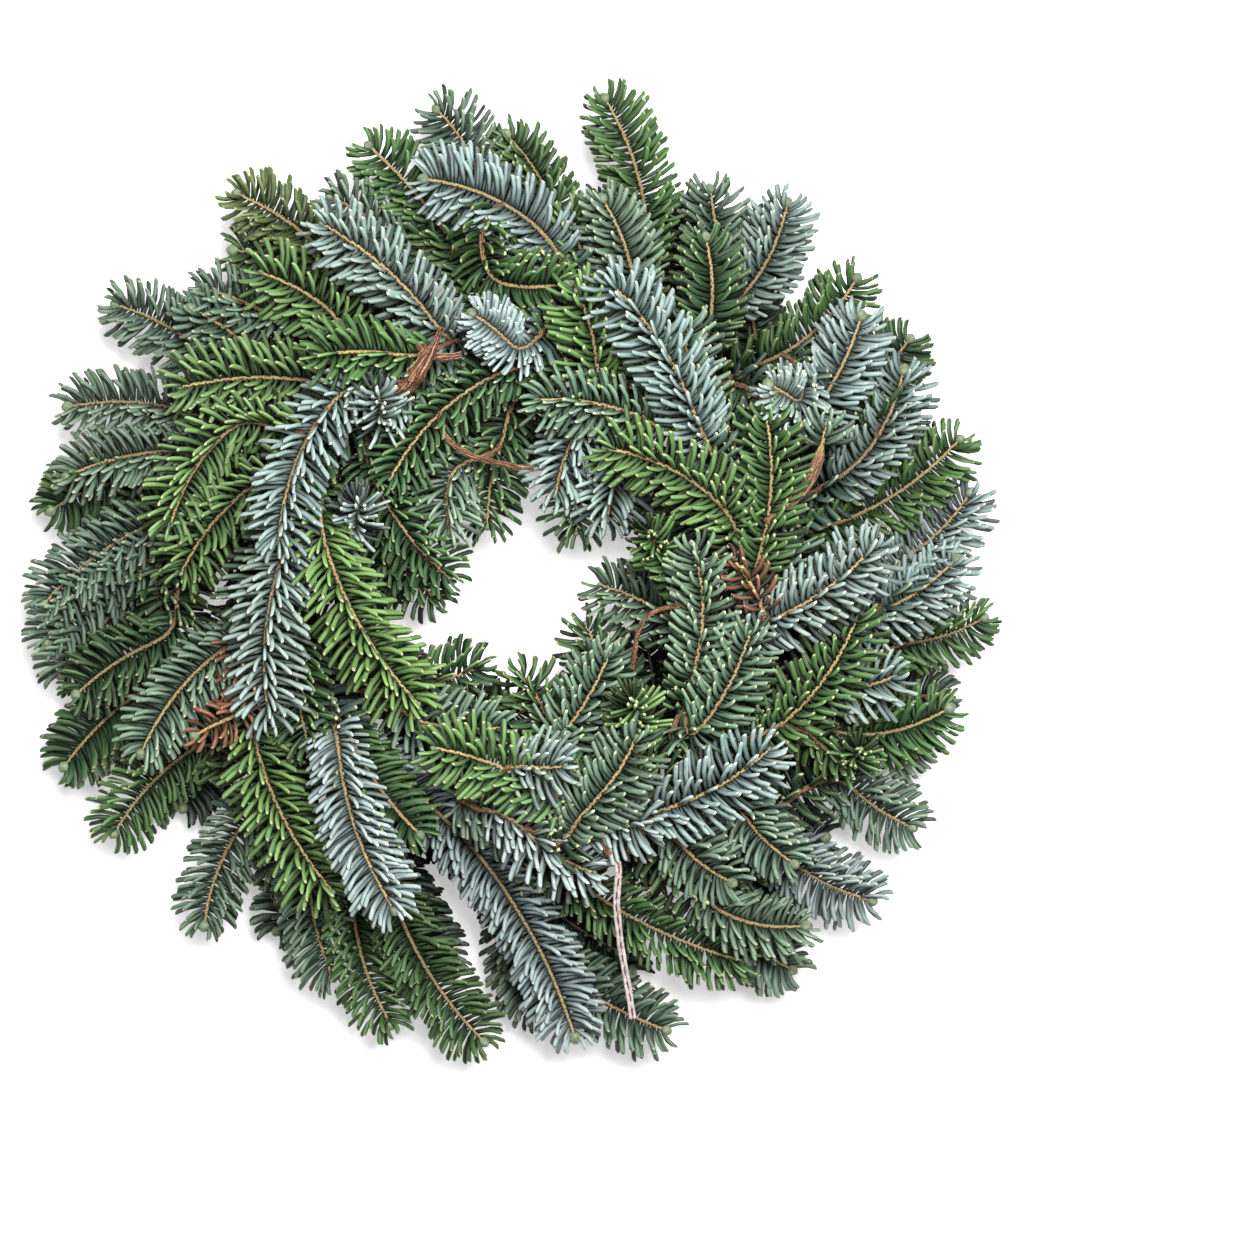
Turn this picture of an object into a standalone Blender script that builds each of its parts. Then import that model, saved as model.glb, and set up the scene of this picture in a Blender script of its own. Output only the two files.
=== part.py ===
"""A round wreath of noble fir branches, lying flat. Metres, +Z up, the wreath's own floor at z = 0.

A bent twig ring is hidden in the foliage. Forked fir sprays start on it and sweep outwards and
counter-clockwise as seen from above, with others over the hole's rim and a lower set underneath.
Every spray is one solid: woody stems, slim shoots and needles raised from the shoots' faces.
"""

import math
import random

import bpy
import numpy as np
from mathutils.bvhtree import BVHTree

for old in list(bpy.data.objects):
    bpy.data.objects.remove(old, do_unlink=True)

# Driving dimensions, metres.
MAP_UNIT = 0.00028        # one unit of the shoot map below
MAP_MID = (514, 565)      # the map's point at x = 0, y = 0
RING_MID = (518, 578)     # the twig ring's middle on the map
RING_RADIUS = 0.0680
RING_TUBE = 0.0042
RING_STEPS = 48
RING_SIDES = 7
RING_Z = 0.0280
SHOOT_RADIUS = 0.0012     # a leafy shoot's core
STEM_RADIUS = 0.0017      # a bare stem
NEEDLE_LENGTH = 0.0134
NEEDLE_STEP = 0.0112      # a whorl of six needles per step
STEM_STEP = 0.0170
GAP = 0.0003              # kept between separate pieces
HOLE_MID = (525, 590)     # the open hole's middle on the map
HOLE_HALF = 0.0158        # half the side of the square kept open
TWINE_DIAMETER = 0.0021
FOOT_RADIUS = 0.0022
UNDER_SPRAYS = 10
FILLS = [                 # how many more shoots, their radii, turn, heights in mm: dark inner foliage
    (12, 0.064, 0.076, 0.46, 39, 41),
    (14, 0.084, 0.110, 0.30, 17, 15),
    (8, 0.056, 0.040, 0.55, 22, 19),
]
LEAF_BACK = 0.010         # needles reach this far back down a stem
SEED = 7

# Sprays. Each shoot is (from x, from y, to x, to y, from height, to height, bend, tone): where its
# needles start, where its tip is, on the map, both heights in mm above the floor, the sideways
# bend as a share of its length, and its colour. "k" is bare wood with its radius in mm in place of
# the bend. The first shoot's stem starts on the ring, the others fork from the first one's.
SPRAYS = [
    ("outer_spray_01", [(652, 215, 610, 80, 25, 21, 0.06, "g"), (638, 270, 608, 190, 37, 38, 0.05, "s")]),
    ("outer_spray_02", [(555, 195, 508, 118, 26, 22, 0.06, "g"), (480, 172, 435, 90, 24, 20, 0.08, "t")]),
    ("outer_spray_03", [(545, 220, 425, 165, 37, 35, 0.08, "b"), (515, 345, 476, 311, 47, 60, 0.05, "w"),
                        (500, 275, 565, 275, 42, 44, 0.05, "g")]),
    ("outer_spray_04", [(475, 275, 365, 130, 31, 26, 0.05, "g"), (385, 225, 325, 180, 27, 23, 0.06, "s")]),
    ("outer_spray_05", [(312, 235, 228, 178, 27, 23, 0.05, "o"), (300, 235, 225, 235, 24, 20, -0.04, "g"),
                        (250, 300, 190, 277, 29, 25, 0.05, "s")]),
    ("outer_spray_06", [(200, 350, 100, 292, 25, 19, 0.06, "t"), (245, 345, 182, 298, 30, 27, 0.05, "t")]),
    ("outer_spray_07", [(190, 410, 52, 397, 24, 19, 0.07, "s"), (190, 445, 50, 470, 28, 23, 0.06, "s")]),
    ("outer_spray_08", [(150, 515, 26, 600, 26, 22, 0.06, "t"), (100, 475, 32, 503, 21, 17, 0.05, "g")]),
    ("outer_spray_09", [(165, 545, 28, 640, 24, 18, 0.06, "t"), (140, 580, 40, 675, 19, 14, 0.06, "t"),
                        (150, 640, 60, 695, 26, 21, 0.05, "d"), (150, 680, 45, 770, 22, 16, 0.06, "d")]),
    ("outer_spray_10", [(230, 640, 130, 755, 37, 35, 0.08, "s"), (232, 720, 190, 738, 42, 41, 0.05, "r")]),
    ("outer_spray_11", [(250, 810, 190, 935, 26, 20, 0.08, "t"), (185, 750, 97, 840, 25, 19, 0.06, "g")]),
    ("outer_spray_12", [(345, 890, 382, 1040, 25, 18, 0.07, "g"), (300, 850, 322, 990, 26, 19, 0.06, "t"),
                        (385, 900, 478, 1058, 27, 18, 0.06, "g")]),
    ("outer_spray_13", [(345, 745, 575, 1050, 39, 22, -0.09, "w"), (335, 750, 390, 915, 49, 47, 0.06, "w")]),
    ("outer_spray_14", [(575, 890, 750, 975, 29, 22, 0.05, "g"), (520, 950, 668, 1048, 24, 18, 0.06, "t")]),
    ("outer_spray_15", [(740, 930, 812, 940, 26, 22, 0.06, "s"), (738, 938, 800, 985, 21, 16, 0.05, "s"),
                        (680, 845, 735, 890, 36, 33, 0.06, "s")]),
    ("outer_spray_16", [(800, 870, 882, 912, 26, 21, 0.05, "b"), (750, 820, 800, 870, 36, 33, 0.05, "s"),
                        (860, 790, 925, 835, 25, 21, 0.05, "s")]),
    ("outer_spray_17", [(880, 740, 962, 715, 27, 22, 0.06, "g"), (875, 748, 935, 755, 21, 17, 0.05, "s"),
                        (915, 645, 1000, 620, 24, 19, 0.06, "g")]),
    ("outer_spray_18", [(885, 615, 970, 560, 31, 28, 0.06, "b"), (915, 560, 987, 492, 25, 20, 0.06, "b")]),
    ("outer_spray_19", [(850, 520, 975, 435, 28, 22, 0.06, "g")]),
    ("outer_spray_20", [(878, 450, 917, 365, 27, 22, 0.06, "b"), (880, 375, 925, 330, 22, 17, 0.05, "d")]),
    ("outer_spray_21", [(800, 340, 868, 268, 27, 22, 0.06, "g"), (815, 410, 872, 310, 36, 33, 0.06, "b"),
                        (806, 398, 780, 382, 43, 50, 0.05, "b")]),
    ("outer_spray_22", [(718, 300, 718, 175, 27, 22, 0.05, "t"), (717, 315, 713, 230, 37, 38, 0.05, "d"),
                        (755, 280, 797, 190, 28, 23, 0.06, "b")]),
    ("top_spray_01", [(440, 325, 320, 215, 47, 48, 0.06, "b"), (410, 352, 315, 350, 51, 53, 0.05, "g"),
                      (377, 418, 377, 389, 47, 61, 0.03, "w"), (402, 388, 443, 322, 54, 56, 2.6, "k"),
                      (424, 356, 462, 352, 54, 54, 1.4, "k")]),
    ("top_spray_02", [(315, 375, 172, 380, 42, 39, 0.05, "l"), (330, 305, 255, 262, 38, 36, 0.05, "l")]),
    ("top_spray_03", [(330, 395, 275, 540, 50, 51, 0.08, "b"), (225, 420, 160, 520, 40, 38, 0.08, "l"),
                      (235, 490, 170, 570, 35, 32, 0.06, "l")]),
    ("top_spray_04", [(275, 560, 262, 720, 47, 45, 0.06, "b"), (352, 524, 356, 501, 46, 59, 0.03, "w")]),
    ("top_spray_05", [(320, 540, 415, 705, 47, 49, 0.06, "l")]),
    ("top_spray_06", [(245, 740, 325, 900, 40, 36, 0.06, "l")]),
    ("top_spray_07", [(550, 800, 435, 752, 49, 51, 0.06, "l"), (520, 770, 565, 770, 51, 55, 0.05, "b")]),
    ("top_spray_08", [(520, 830, 595, 880, 44, 43, 0.06, "w"), (605, 825, 650, 832, 46, 47, 0.05, "b"),
                      (590, 815, 640, 742, 50, 57, 0.05, "t"), (599, 839, 616, 862, 47, 50, 1.7, "k")]),
    ("top_spray_09", [(655, 820, 775, 755, 48, 50, 0.06, "b"), (640, 728, 637, 704, 47, 61, 0.03, "l"),
                      (640, 842, 634, 860, 47, 49, 1.6, "k")]),
    ("top_spray_10", [(705, 650, 700, 550, 49, 52, 0.06, "s"), (695, 745, 757, 635, 46, 49, 0.06, "s"),
                      (662, 552, 655, 532, 45, 57, 0.03, "g"), (645, 622, 637, 670, 50, 43, 0.8, "k")]),
    ("top_spray_11", [(800, 720, 868, 617, 43, 43, 0.06, "g"), (850, 692, 905, 680, 37, 36, 0.06, "b"),
                      (858, 768, 870, 754, 37, 49, 0.03, "g")]),
    ("top_spray_12", [(770, 625, 885, 545, 50, 50, 0.06, "b"), (768, 606, 741, 560, 55, 53, 0.05, "r")]),
    ("top_spray_13", [(768, 555, 774, 412, 47, 49, 0.06, "g"), (815, 485, 835, 422, 45, 46, 0.05, "s")]),
    ("top_spray_14", [(700, 410, 613, 275, 50, 52, 0.06, "b"), (705, 425, 693, 320, 45, 46, -0.06, "s")]),
    ("top_spray_15", [(600, 370, 580, 285, 43, 48, 0.06, "l"), (585, 275, 567, 197, 33, 31, 0.05, "l")]),
    ("top_spray_16", [(500, 365, 388, 473, 45, 41, 0.08, "d"), (470, 452, 535, 465, 47, 46, 0.9, "k")]),
    ("top_spray_17", [(640, 410, 540, 395, 46, 47, 0.06, "t"), (590, 410, 557, 490, 42, 35, 0.06, "b")]),
    ("top_spray_18", [(725, 500, 610, 445, 52, 50, 0.08, "l")]),
    ("inner_spray_01", [(365, 465, 445, 575, 36, 28, 0.06, "d"), (355, 480, 430, 598, 28, 20, 0.06, "d")]),
    ("inner_spray_02", [(500, 440, 486, 522, 33, 26, 0.05, "d"), (448, 470, 447, 528, 38, 33, 0.05, "s")]),
    ("inner_spray_03", [(595, 465, 578, 528, 32, 25, 0.05, "d"), (625, 462, 610, 515, 38, 32, 0.05, "b")]),
    ("inner_spray_04", [(690, 628, 605, 585, 34, 27, 0.05, "t")]),
    ("inner_spray_05", [(610, 690, 588, 627, 32, 26, 0.05, "d"), (550, 755, 612, 657, 39, 36, 0.05, "t"),
                        (550, 730, 522, 678, 36, 30, 0.05, "g")]),
    ("inner_spray_06", [(395, 692, 478, 668, 34, 28, 0.05, "d"), (415, 725, 500, 732, 42, 43, 0.05, "t")]),
]

# The tie cord starts on the end of this spray's cut stem, then follows this route on the map, with
# heights in mm.
TIED_SPRAY = "top_spray_08"
TWINE_ROUTE = [(622, 882, 49), (620, 912, 45), (624, 955, 38), (632, 1000, 33), (637, 1034, 30)]

TONES = {
    "b": (0.20, 0.33, 0.36), "w": (0.42, 0.54, 0.58), "g": (0.07, 0.17, 0.06), "l": (0.15, 0.30, 0.07),
    "t": (0.05, 0.15, 0.14), "d": (0.03, 0.09, 0.05), "s": (0.19, 0.26, 0.20), "o": (0.14, 0.18, 0.06),
    "r": (0.22, 0.10, 0.05), "k": (0.16, 0.08, 0.04),
}


def on_map(x, y, z):
    """A map point in metres."""
    return np.array([(x - MAP_MID[0]) * MAP_UNIT, (MAP_MID[1] - y) * MAP_UNIT, z])


def unit(v):
    """The vector at length one."""
    return v / max(float(np.linalg.norm(v)), 1e-12)


def bezier(a, b, c, d, count):
    """Points on a cubic curve from a to d."""
    t = np.linspace(0.0, 1.0, count)[:, None]
    return a * (1 - t) ** 3 + 3 * b * t * (1 - t) ** 2 + 3 * c * t * t * (1 - t) + d * t ** 3


def lengths(points):
    """The distance along a path to each of its points."""
    return np.concatenate([[0.0], np.cumsum(np.linalg.norm(np.diff(points, axis=0), axis=1))])


def at(points, where):
    """Points at the given distances along a path."""
    along = lengths(points)
    return np.stack([np.interp(where, along, points[:, i]) for i in range(3)], axis=-1)


RING_CENTRE = on_map(RING_MID[0], RING_MID[1], RING_Z)
HOLE_CENTRE = on_map(HOLE_MID[0], HOLE_MID[1], 0.0)


def ring_point(angle):
    """A point on the ring's middle line."""
    return RING_CENTRE + RING_RADIUS * np.array([math.cos(angle), math.sin(angle), 0.0])


def nearest_on_ring(point):
    """The point of the ring's middle line that is nearest."""
    return ring_point(math.atan2(point[1] - RING_CENTRE[1], point[0] - RING_CENTRE[0]))


def under_rows(number, rng):
    """The shoots of one spray on the underside, set round the ring by a rule."""
    turn = 2 * math.pi * (number + 0.25) / UNDER_SPRAYS
    rows = []
    plan = [(0.072, 0.10, 0.120, 0.42, 13.0, 10.0), (0.066, 0.14, 0.083, 0.68, 12.0, 9.0),
            (0.062, 0.18, 0.040, 0.60, 14.0, 12.0), (0.092, 0.16, 0.127, 0.20, 12.5, 12.0)]
    for near, turn_a, far, turn_b, low, high in plan:
        a = ring_side(near, turn + turn_a + rng.uniform(-0.05, 0.05))
        b = ring_side(far + rng.uniform(-0.004, 0.003), turn + turn_b + rng.uniform(-0.05, 0.05))
        rows.append((a[0], a[1], b[0], b[1], low, high, 0.06, rng.choice("gtds")))
    return rows


def ring_side(radius, angle):
    """A map position at a radius and angle round the ring's middle."""
    return (RING_MID[0] + radius * math.cos(angle) / MAP_UNIT,
            RING_MID[1] - radius * math.sin(angle) / MAP_UNIT)


class Shoot:
    """One path with its spray, its mother shoot and where its needles start."""

    def __init__(self, spray, row, mother):
        bx, by, tx, ty, low, high, bend, tone = row
        self.spray = spray
        self.mother = mother
        self.tone = tone
        self.bare = tone in "kf"
        self.foot = tone == "f"
        self.radius = SHOOT_RADIUS
        if self.bare:
            self.radius = bend * 0.001
            bend = 0.03
        start = on_map(bx, by, low * 0.001)
        tip = on_map(tx, ty, high * 0.001)
        way = tip - start
        side = unit(np.array([-way[1], way[0], 0.0]))
        middle = (start + tip) / 2 - side * bend * 2 * np.linalg.norm(way)
        if self.foot:
            middle = (start + tip) / 2
        heading = unit(middle - start)
        if mother is None:
            back = start - heading * 0.022
            angle = math.atan2(back[1] - RING_CENTRE[1], back[0] - RING_CENTRE[0])
            seat = ring_point(angle)
            along = np.array([-math.sin(angle), math.cos(angle), 0.0])
            out = start - seat
            out = unit(out - along * float(out @ along))
            root = seat + out * (RING_TUBE + STEM_RADIUS + GAP + 0.0004)
            leaving = unit(out + 0.8 * along)
            self.joint = 0
        else:
            want = start - heading * (0.010 if self.bare else 0.014)
            far = np.linalg.norm(mother.points - want, axis=1)
            last = int(len(mother.points) * 0.7)
            self.joint = int(np.argmin(far[2:last])) + 2
            root = mother.points[self.joint]
            leaving = unit(mother.points[self.joint + 1] - mother.points[self.joint - 1])
        reach = float(np.linalg.norm(start - root))
        stem = bezier(root, root + leaving * reach * 0.35, start - heading * reach * 0.35, start, 16)
        leafy = bezier(start, start + (middle - start) * 2 / 3, tip + (middle - tip) * 2 / 3, tip, 16)
        whole = np.vstack([stem, leafy[1:]])
        total = lengths(whole)
        self.total = total[-1]
        self.leaf_from = total[15] - (0.0 if self.bare else min(LEAF_BACK, 0.45 * total[15]))
        count = max(5, int(round(self.total / 0.004)) + 1)
        self.points = at(whole, np.linspace(0, self.total, count))
        self.home = self.points.copy()
        self.start = start
        self.tip = tip


rng = random.Random(SEED)
shoots = []
spray_names = []
for name, rows in SPRAYS + [("under_spray_%02d" % (i + 1), under_rows(i, rng)) for i in range(UNDER_SPRAYS)]:
    spray_names.append(name)
    first = None
    for row in rows:
        made = Shoot(name, row, first)
        shoots.append(made)
        if first is None:
            first = made
    if name in ("under_spray_02", "under_spray_05", "under_spray_09"):
        number = int(name[-2:]) - 1
        turn = 2 * math.pi * (number + 0.25) / UNDER_SPRAYS
        a = ring_side(0.074, turn + 0.24)
        b = ring_side(0.094, turn + 0.34)
        low = FOOT_RADIUS * math.cos(math.pi / 6) * 1000
        shoots.append(Shoot(name, (a[0], a[1], b[0], b[1], low, low, FOOT_RADIUS * 1000, "f"), first))

for count, near, far, swing, low, high in FILLS:
    for i in range(count):
        turn = 2 * math.pi * (i + 0.4) / count
        a = ring_side(near + rng.uniform(-0.003, 0.003), turn)
        b = ring_side(far + rng.uniform(-0.004, 0.004), turn + swing)
        row = (a[0], a[1], b[0], b[1], low, high, 0.05, rng.choice("dtg"))
        want = on_map(a[0], a[1], low * 0.001)
        mains = [s for s in shoots if s.mother is None and s.spray.startswith("under") == (low < 30)]
        first = min(mains, key=lambda m: np.linalg.norm(m.points[1:7] - want, axis=1).min())
        last = max(j for j, s in enumerate(shoots) if s.spray == first.spray)
        shoots.insert(last + 1, Shoot(first.spray, row, first))

tied = [s for s in shoots if s.spray == TIED_SPRAY and s.tone == "k"][0]
ahead = unit(tied.points[-1] - tied.points[-2])
twine_points = [tied.points[-1] + ahead * (GAP + 0.0001)]
twine_points += [on_map(x, y, z * 0.001) for x, y, z in TWINE_ROUTE]
twine_points = np.vstack([bezier(twine_points[0], twine_points[0] + ahead * 0.003,
                                 twine_points[1] - unit(twine_points[2] - twine_points[1]) * 0.003,
                                 twine_points[1], 8), np.array(twine_points[2:])])
twine_way = at(twine_points, np.linspace(0, lengths(twine_points)[-1], 24))


def relax(shoots, rounds):
    """Push the shoots apart, mostly up and down, until each has its own way through the others."""
    owner = np.concatenate([[i] * len(s.points) for i, s in enumerate(shoots)])
    spray = np.array([spray_names.index(shoots[i].spray) for i in owner])
    start = np.cumsum([0] + [len(s.points) for s in shoots])
    place = np.vstack([s.points for s in shoots])
    home = place.copy()
    free = np.concatenate([lengths(s.points) for s in shoots])
    leafy = np.concatenate([lengths(s.points) > s.leaf_from - 0.002 for s in shoots])
    leafy &= ~np.array([shoots[i].bare for i in owner])
    fixed = np.zeros(len(owner), bool)
    for i, s in enumerate(shoots):
        if s.foot:
            fixed[start[i]:start[i + 1]] = lengths(s.points) > s.leaf_from - 0.003
    fixed[start[shoots.index(tied) + 1] - 2:start[shoots.index(tied) + 1]] = True
    a, b = np.triu_indices(len(place), 1)
    near = np.linalg.norm(home[a] - home[b], axis=1) < 0.030
    near &= owner[a] != owner[b]
    a, b = a[near], b[near]
    want = np.where(leafy[a] & leafy[b], 0.0080, np.where(leafy[a] | leafy[b], 0.0056, 0.0044))
    own = spray[a] == spray[b]
    want = np.where(own, np.minimum(want, 0.5 * np.minimum(free[a], free[b])), want)
    order = np.sign(home[a][:, 2] - home[b][:, 2] + 1e-6)
    for _ in range(rounds):
        gap = place[a] - place[b]
        far = np.linalg.norm(gap, axis=1) + 1e-9
        short = np.maximum(want - far, 0)
        live = short > 0
        push = np.zeros_like(place)
        g = gap[live] * np.array([0.45, 0.45, 1.0])
        g[:, 2] += 0.0012 * order[live]
        g /= np.linalg.norm(g, axis=1)[:, None] + 1e-9
        g *= (0.42 * short[live])[:, None]
        np.add.at(push, a[live], g)
        np.add.at(push, b[live], -g)
        size = np.linalg.norm(push, axis=1)[:, None]
        push *= np.minimum(1.0, 0.0016 / (size + 1e-9))
        push[fixed] = 0
        place += push
        flat = place[:, :2] - RING_CENTRE[:2]
        round_at = flat / np.linalg.norm(flat, axis=1)[:, None]
        nearest = np.column_stack([RING_CENTRE[:2] + round_at * RING_RADIUS, np.full(len(place), RING_Z)])
        off = place - nearest
        away = np.linalg.norm(off, axis=1)
        keep = RING_TUBE + np.where(leafy, 0.0032, STEM_RADIUS + GAP + 0.0004)
        inside = (away < keep) & ~fixed
        place[inside] = nearest[inside] + off[inside] / away[inside][:, None] * keep[inside][:, None]
        for point in twine_way[2:]:
            off = place - point
            away = np.linalg.norm(off, axis=1)
            inside = (away < 0.0046) & ~fixed
            place[inside] += off[inside] / away[inside][:, None] * (0.0046 - away[inside])[:, None]
        shift = place - home
        shift[:, :2] *= 0.96
        shift[:, 2] *= 0.992
        for i, s in enumerate(shoots):
            part = shift[start[i]:start[i + 1]]
            part[1:-1] += 0.5 * ((part[:-2] + part[2:]) / 2 - part[1:-1])
            part[-1] += 0.4 * (part[-2] - part[-1])
            if s.mother is None:
                part[0] = 0
            else:
                j = shoots.index(s.mother)
                part[0] = shift[start[j] + s.joint]
        shift[fixed] = 0
        place = home + shift
        low = np.where(leafy, 0.0055, 0.0032)
        place[:, 2] = np.where(fixed, place[:, 2], np.clip(place[:, 2], low, 0.0610))
    for i, s in enumerate(shoots):
        s.points = place[start[i]:start[i + 1]]
    for s in shoots:
        if s.mother is not None:
            s.points[0] = s.mother.points[s.joint]
    return


def frames(points):
    """Tangent, side and up at each point of a path, carried along without twist."""
    way = np.gradient(points, axis=0)
    way /= np.linalg.norm(way, axis=1)[:, None]
    up = np.array([0.0, 0.0, 1.0])
    side = unit(np.cross(way[0], up)) if abs(way[0][2]) < 0.95 else np.array([1.0, 0.0, 0.0])
    out = []
    for t in way:
        side = unit(side - t * float(side @ t))
        out.append((t, side, np.cross(side, t)))
    return out


def sides_out(verts, faces):
    """The faces, turned where the solid's volume comes out negative."""
    volume = 0.0
    for face in faces:
        for k in range(1, len(face) - 1):
            volume += float(np.dot(verts[face[0]], np.cross(verts[face[k]], verts[face[k + 1]])))
    return faces if volume > 0 else [tuple(reversed(face)) for face in faces]


def ring_mesh():
    """The twig ring: a closed, slightly lumpy bundle."""
    verts = []
    faces = []
    for i in range(RING_STEPS):
        angle = 2 * math.pi * i / RING_STEPS
        out = np.array([math.cos(angle), math.sin(angle), 0.0])
        for k in range(RING_SIDES):
            turn = 2 * math.pi * (k + 0.5 * (i % 2)) / RING_SIDES
            size = RING_TUBE * (0.96 + 0.04 * math.sin(3 * turn + 5 * angle))
            verts.append(ring_point(angle) + size * (math.cos(turn) * out + np.array([0, 0, math.sin(turn)])))
    for i in range(RING_STEPS):
        a = i * RING_SIDES
        b = ((i + 1) % RING_STEPS) * RING_SIDES
        for k in range(RING_SIDES):
            n = (k + 1) % RING_SIDES
            if i % 2 == 0:
                faces.append((a + k, a + n, b + k))
                faces.append((b + k, a + n, b + n))
            else:
                faces.append((a + k, b + n, b + k))
                faces.append((a + k, a + n, b + n))
    return np.array(verts), sides_out(np.array(verts), faces)


RING_VERTS, RING_FACES = ring_mesh()
ring_skin = BVHTree.FromPolygons([tuple(v) for v in RING_VERTS], RING_FACES, epsilon=0.0)


def core(s):
    """The shoot's slim three-sided core: rings turned by a sixth, so its sides are triangles."""
    total = lengths(s.points)[-1]
    leaf_from = s.leaf_from * total / s.total
    if s.foot:
        stations = np.array([0.0, leaf_from * 0.5, leaf_from, total])
    elif s.bare:
        stations = np.linspace(0, total, max(3, int(total / 0.006)) + 1)
    else:
        stem = np.linspace(0, leaf_from, max(1, int(round(leaf_from / STEM_STEP))) + 1)
        leafy = total - leaf_from
        stations = np.concatenate([stem, np.linspace(leaf_from, total - 0.0035,
                                                     max(3, int(round(leafy / NEEDLE_STEP))) + 1)[1:]])
    rings = at(s.points, stations)
    if s.foot:
        rings[2] = s.start
        rings[3] = s.tip
    axes = frames(rings)
    if s.foot:
        way = unit(s.tip - s.start)
        side = unit(np.cross(way, np.array([0.0, 0.0, 1.0])))
        axes[2] = axes[3] = (way, side, np.array([0.0, 0.0, 1.0]))
    verts = []
    sides = 6 if s.foot else 3
    for i, (p, (t, side, up)) in enumerate(zip(rings, axes)):
        if s.bare:
            radius = s.radius * (1 - 0.15 * i / len(rings))
            if s.foot:
                radius = s.radius
        elif stations[i] < leaf_from:
            radius = STEM_RADIUS
        else:
            radius = SHOOT_RADIUS * (1.05 - 0.25 * (stations[i] - leaf_from) / (total - leaf_from))
        for k in range(sides):
            turn = 2 * math.pi * k / sides + (0.0 if s.foot else math.pi * i / 3)
            verts.append(p + radius * (math.cos(turn) * side + math.sin(turn) * up))
    if s.mother is None:
        seat = nearest_on_ring(s.points[0])
        inward = unit(seat - s.points[0])
        for _ in range(5):
            share = np.linspace(0, 1, 9)[:, None, None]
            skin = (np.array(verts[:3])[None] * (1 - share) + np.array(verts[3:6])[None] * share).reshape(-1, 3)
            room = min(ring_skin.find_nearest(q)[3] for q in skin)
            for k in range(3):
                verts[k] = verts[k] + inward * (room - GAP - 0.0001)
    faces = []
    for i in range(len(rings) - 1):
        a = i * sides
        b = a + sides
        for k in range(sides):
            n = (k + 1) % sides
            if s.foot:
                faces.append((a + k, a + n, b + n, b + k))
            else:
                faces.append((a + k, a + n, b + k))
                faces.append((b + k, a + n, b + n))
    last = (len(rings) - 1) * sides
    faces.append(tuple(reversed(range(sides))))
    if s.bare:
        faces.append(tuple(last + k for k in range(sides)))
    else:
        verts.append(s.points[-1])
        for k in range(3):
            faces.append((last + k, last + (k + 1) % 3, len(verts) - 1))
    return np.array(verts), faces, rings, stations, leaf_from, axes


def apart(p0, p1, q0, q1):
    """Least distance between segments, with the shares along both where it is."""
    d1 = p1 - p0
    d2 = q1 - q0
    r = p0 - q0
    a = (d1 * d1).sum(-1) + 1e-12
    e = (d2 * d2).sum(-1) + 1e-12
    f = (d2 * r).sum(-1)
    c = (d1 * r).sum(-1)
    b = (d1 * d2).sum(-1)
    m = a * e - b * b
    u = np.clip((b * f - c * e) / np.maximum(m, 1e-14), 0, 1)
    v = np.clip((b * u + f) / e, 0, 1)
    u = np.clip((b * v - c) / a, 0, 1)
    gap = p0 + d1 * u[..., None] - q0 - d2 * v[..., None]
    return np.sqrt((gap * gap).sum(-1)), u, v


relax(shoots, 160)
for s in shoots:
    if s.mother is not None:
        fine = at(s.mother.rings, np.linspace(0, lengths(s.mother.rings)[-1], 200))
        s.points[0] = fine[int(np.argmin(np.linalg.norm(fine - s.points[0], axis=1)))]
    s.verts, s.faces, s.rings, s.stations, s.leaf_at, s.axes = core(s)
    s.faces = sides_out(s.verts, s.faces)

# Every core as capsules, then the ring and the cord.
solid_a, solid_b, solid_r0, solid_r1, solid_owner, solid_spray, solid_needle = [], [], [], [], [], [], []


def add_solid(a, b, r0, r1, owner, spray, needle):
    """Book a tapered rod that later needles must miss."""
    solid_a.append(a)
    solid_b.append(b)
    solid_r0.append(r0)
    solid_r1.append(r1)
    solid_owner.append(owner)
    solid_spray.append(spray)
    solid_needle.append(needle)


for number, s in enumerate(shoots):
    wide = s.radius if s.bare else STEM_RADIUS
    for i in range(len(s.rings) - 1):
        thick = wide if s.stations[i] < s.leaf_at or s.bare else SHOOT_RADIUS
        add_solid(s.rings[i], s.rings[i + 1], thick, thick, number, s.spray, False)
    if not s.bare:
        add_solid(s.rings[-1], s.points[-1], SHOOT_RADIUS, 0.0001, number, s.spray, False)
for i in range(60):
    add_solid(ring_point(2 * math.pi * i / 60), ring_point(2 * math.pi * (i + 1) / 60),
              RING_TUBE * 1.04, RING_TUBE * 1.04, -1, "ring", False)
for i in range(len(twine_way) - 1):
    add_solid(twine_way[i], twine_way[i + 1], TWINE_DIAMETER / 2 + 0.0003, TWINE_DIAMETER / 2 + 0.0003,
              -2, "twine", False)

SPRAY_CODE = {name: i for i, name in enumerate(spray_names + ["ring", "twine"])}
book_a = np.zeros((12000, 3))
book_b = np.zeros((12000, 3))
book_r0 = np.zeros(12000)
book_r1 = np.zeros(12000)
book_owner = np.zeros(12000, int)
book_spray = np.zeros(12000, int)
book_needle = np.zeros(12000, bool)
booked = len(solid_a)
book_a[:booked] = solid_a
book_b[:booked] = solid_b
book_r0[:booked] = solid_r0
book_r1[:booked] = solid_r1
book_owner[:booked] = solid_owner
book_spray[:booked] = [SPRAY_CODE[n] for n in solid_spray]

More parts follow.
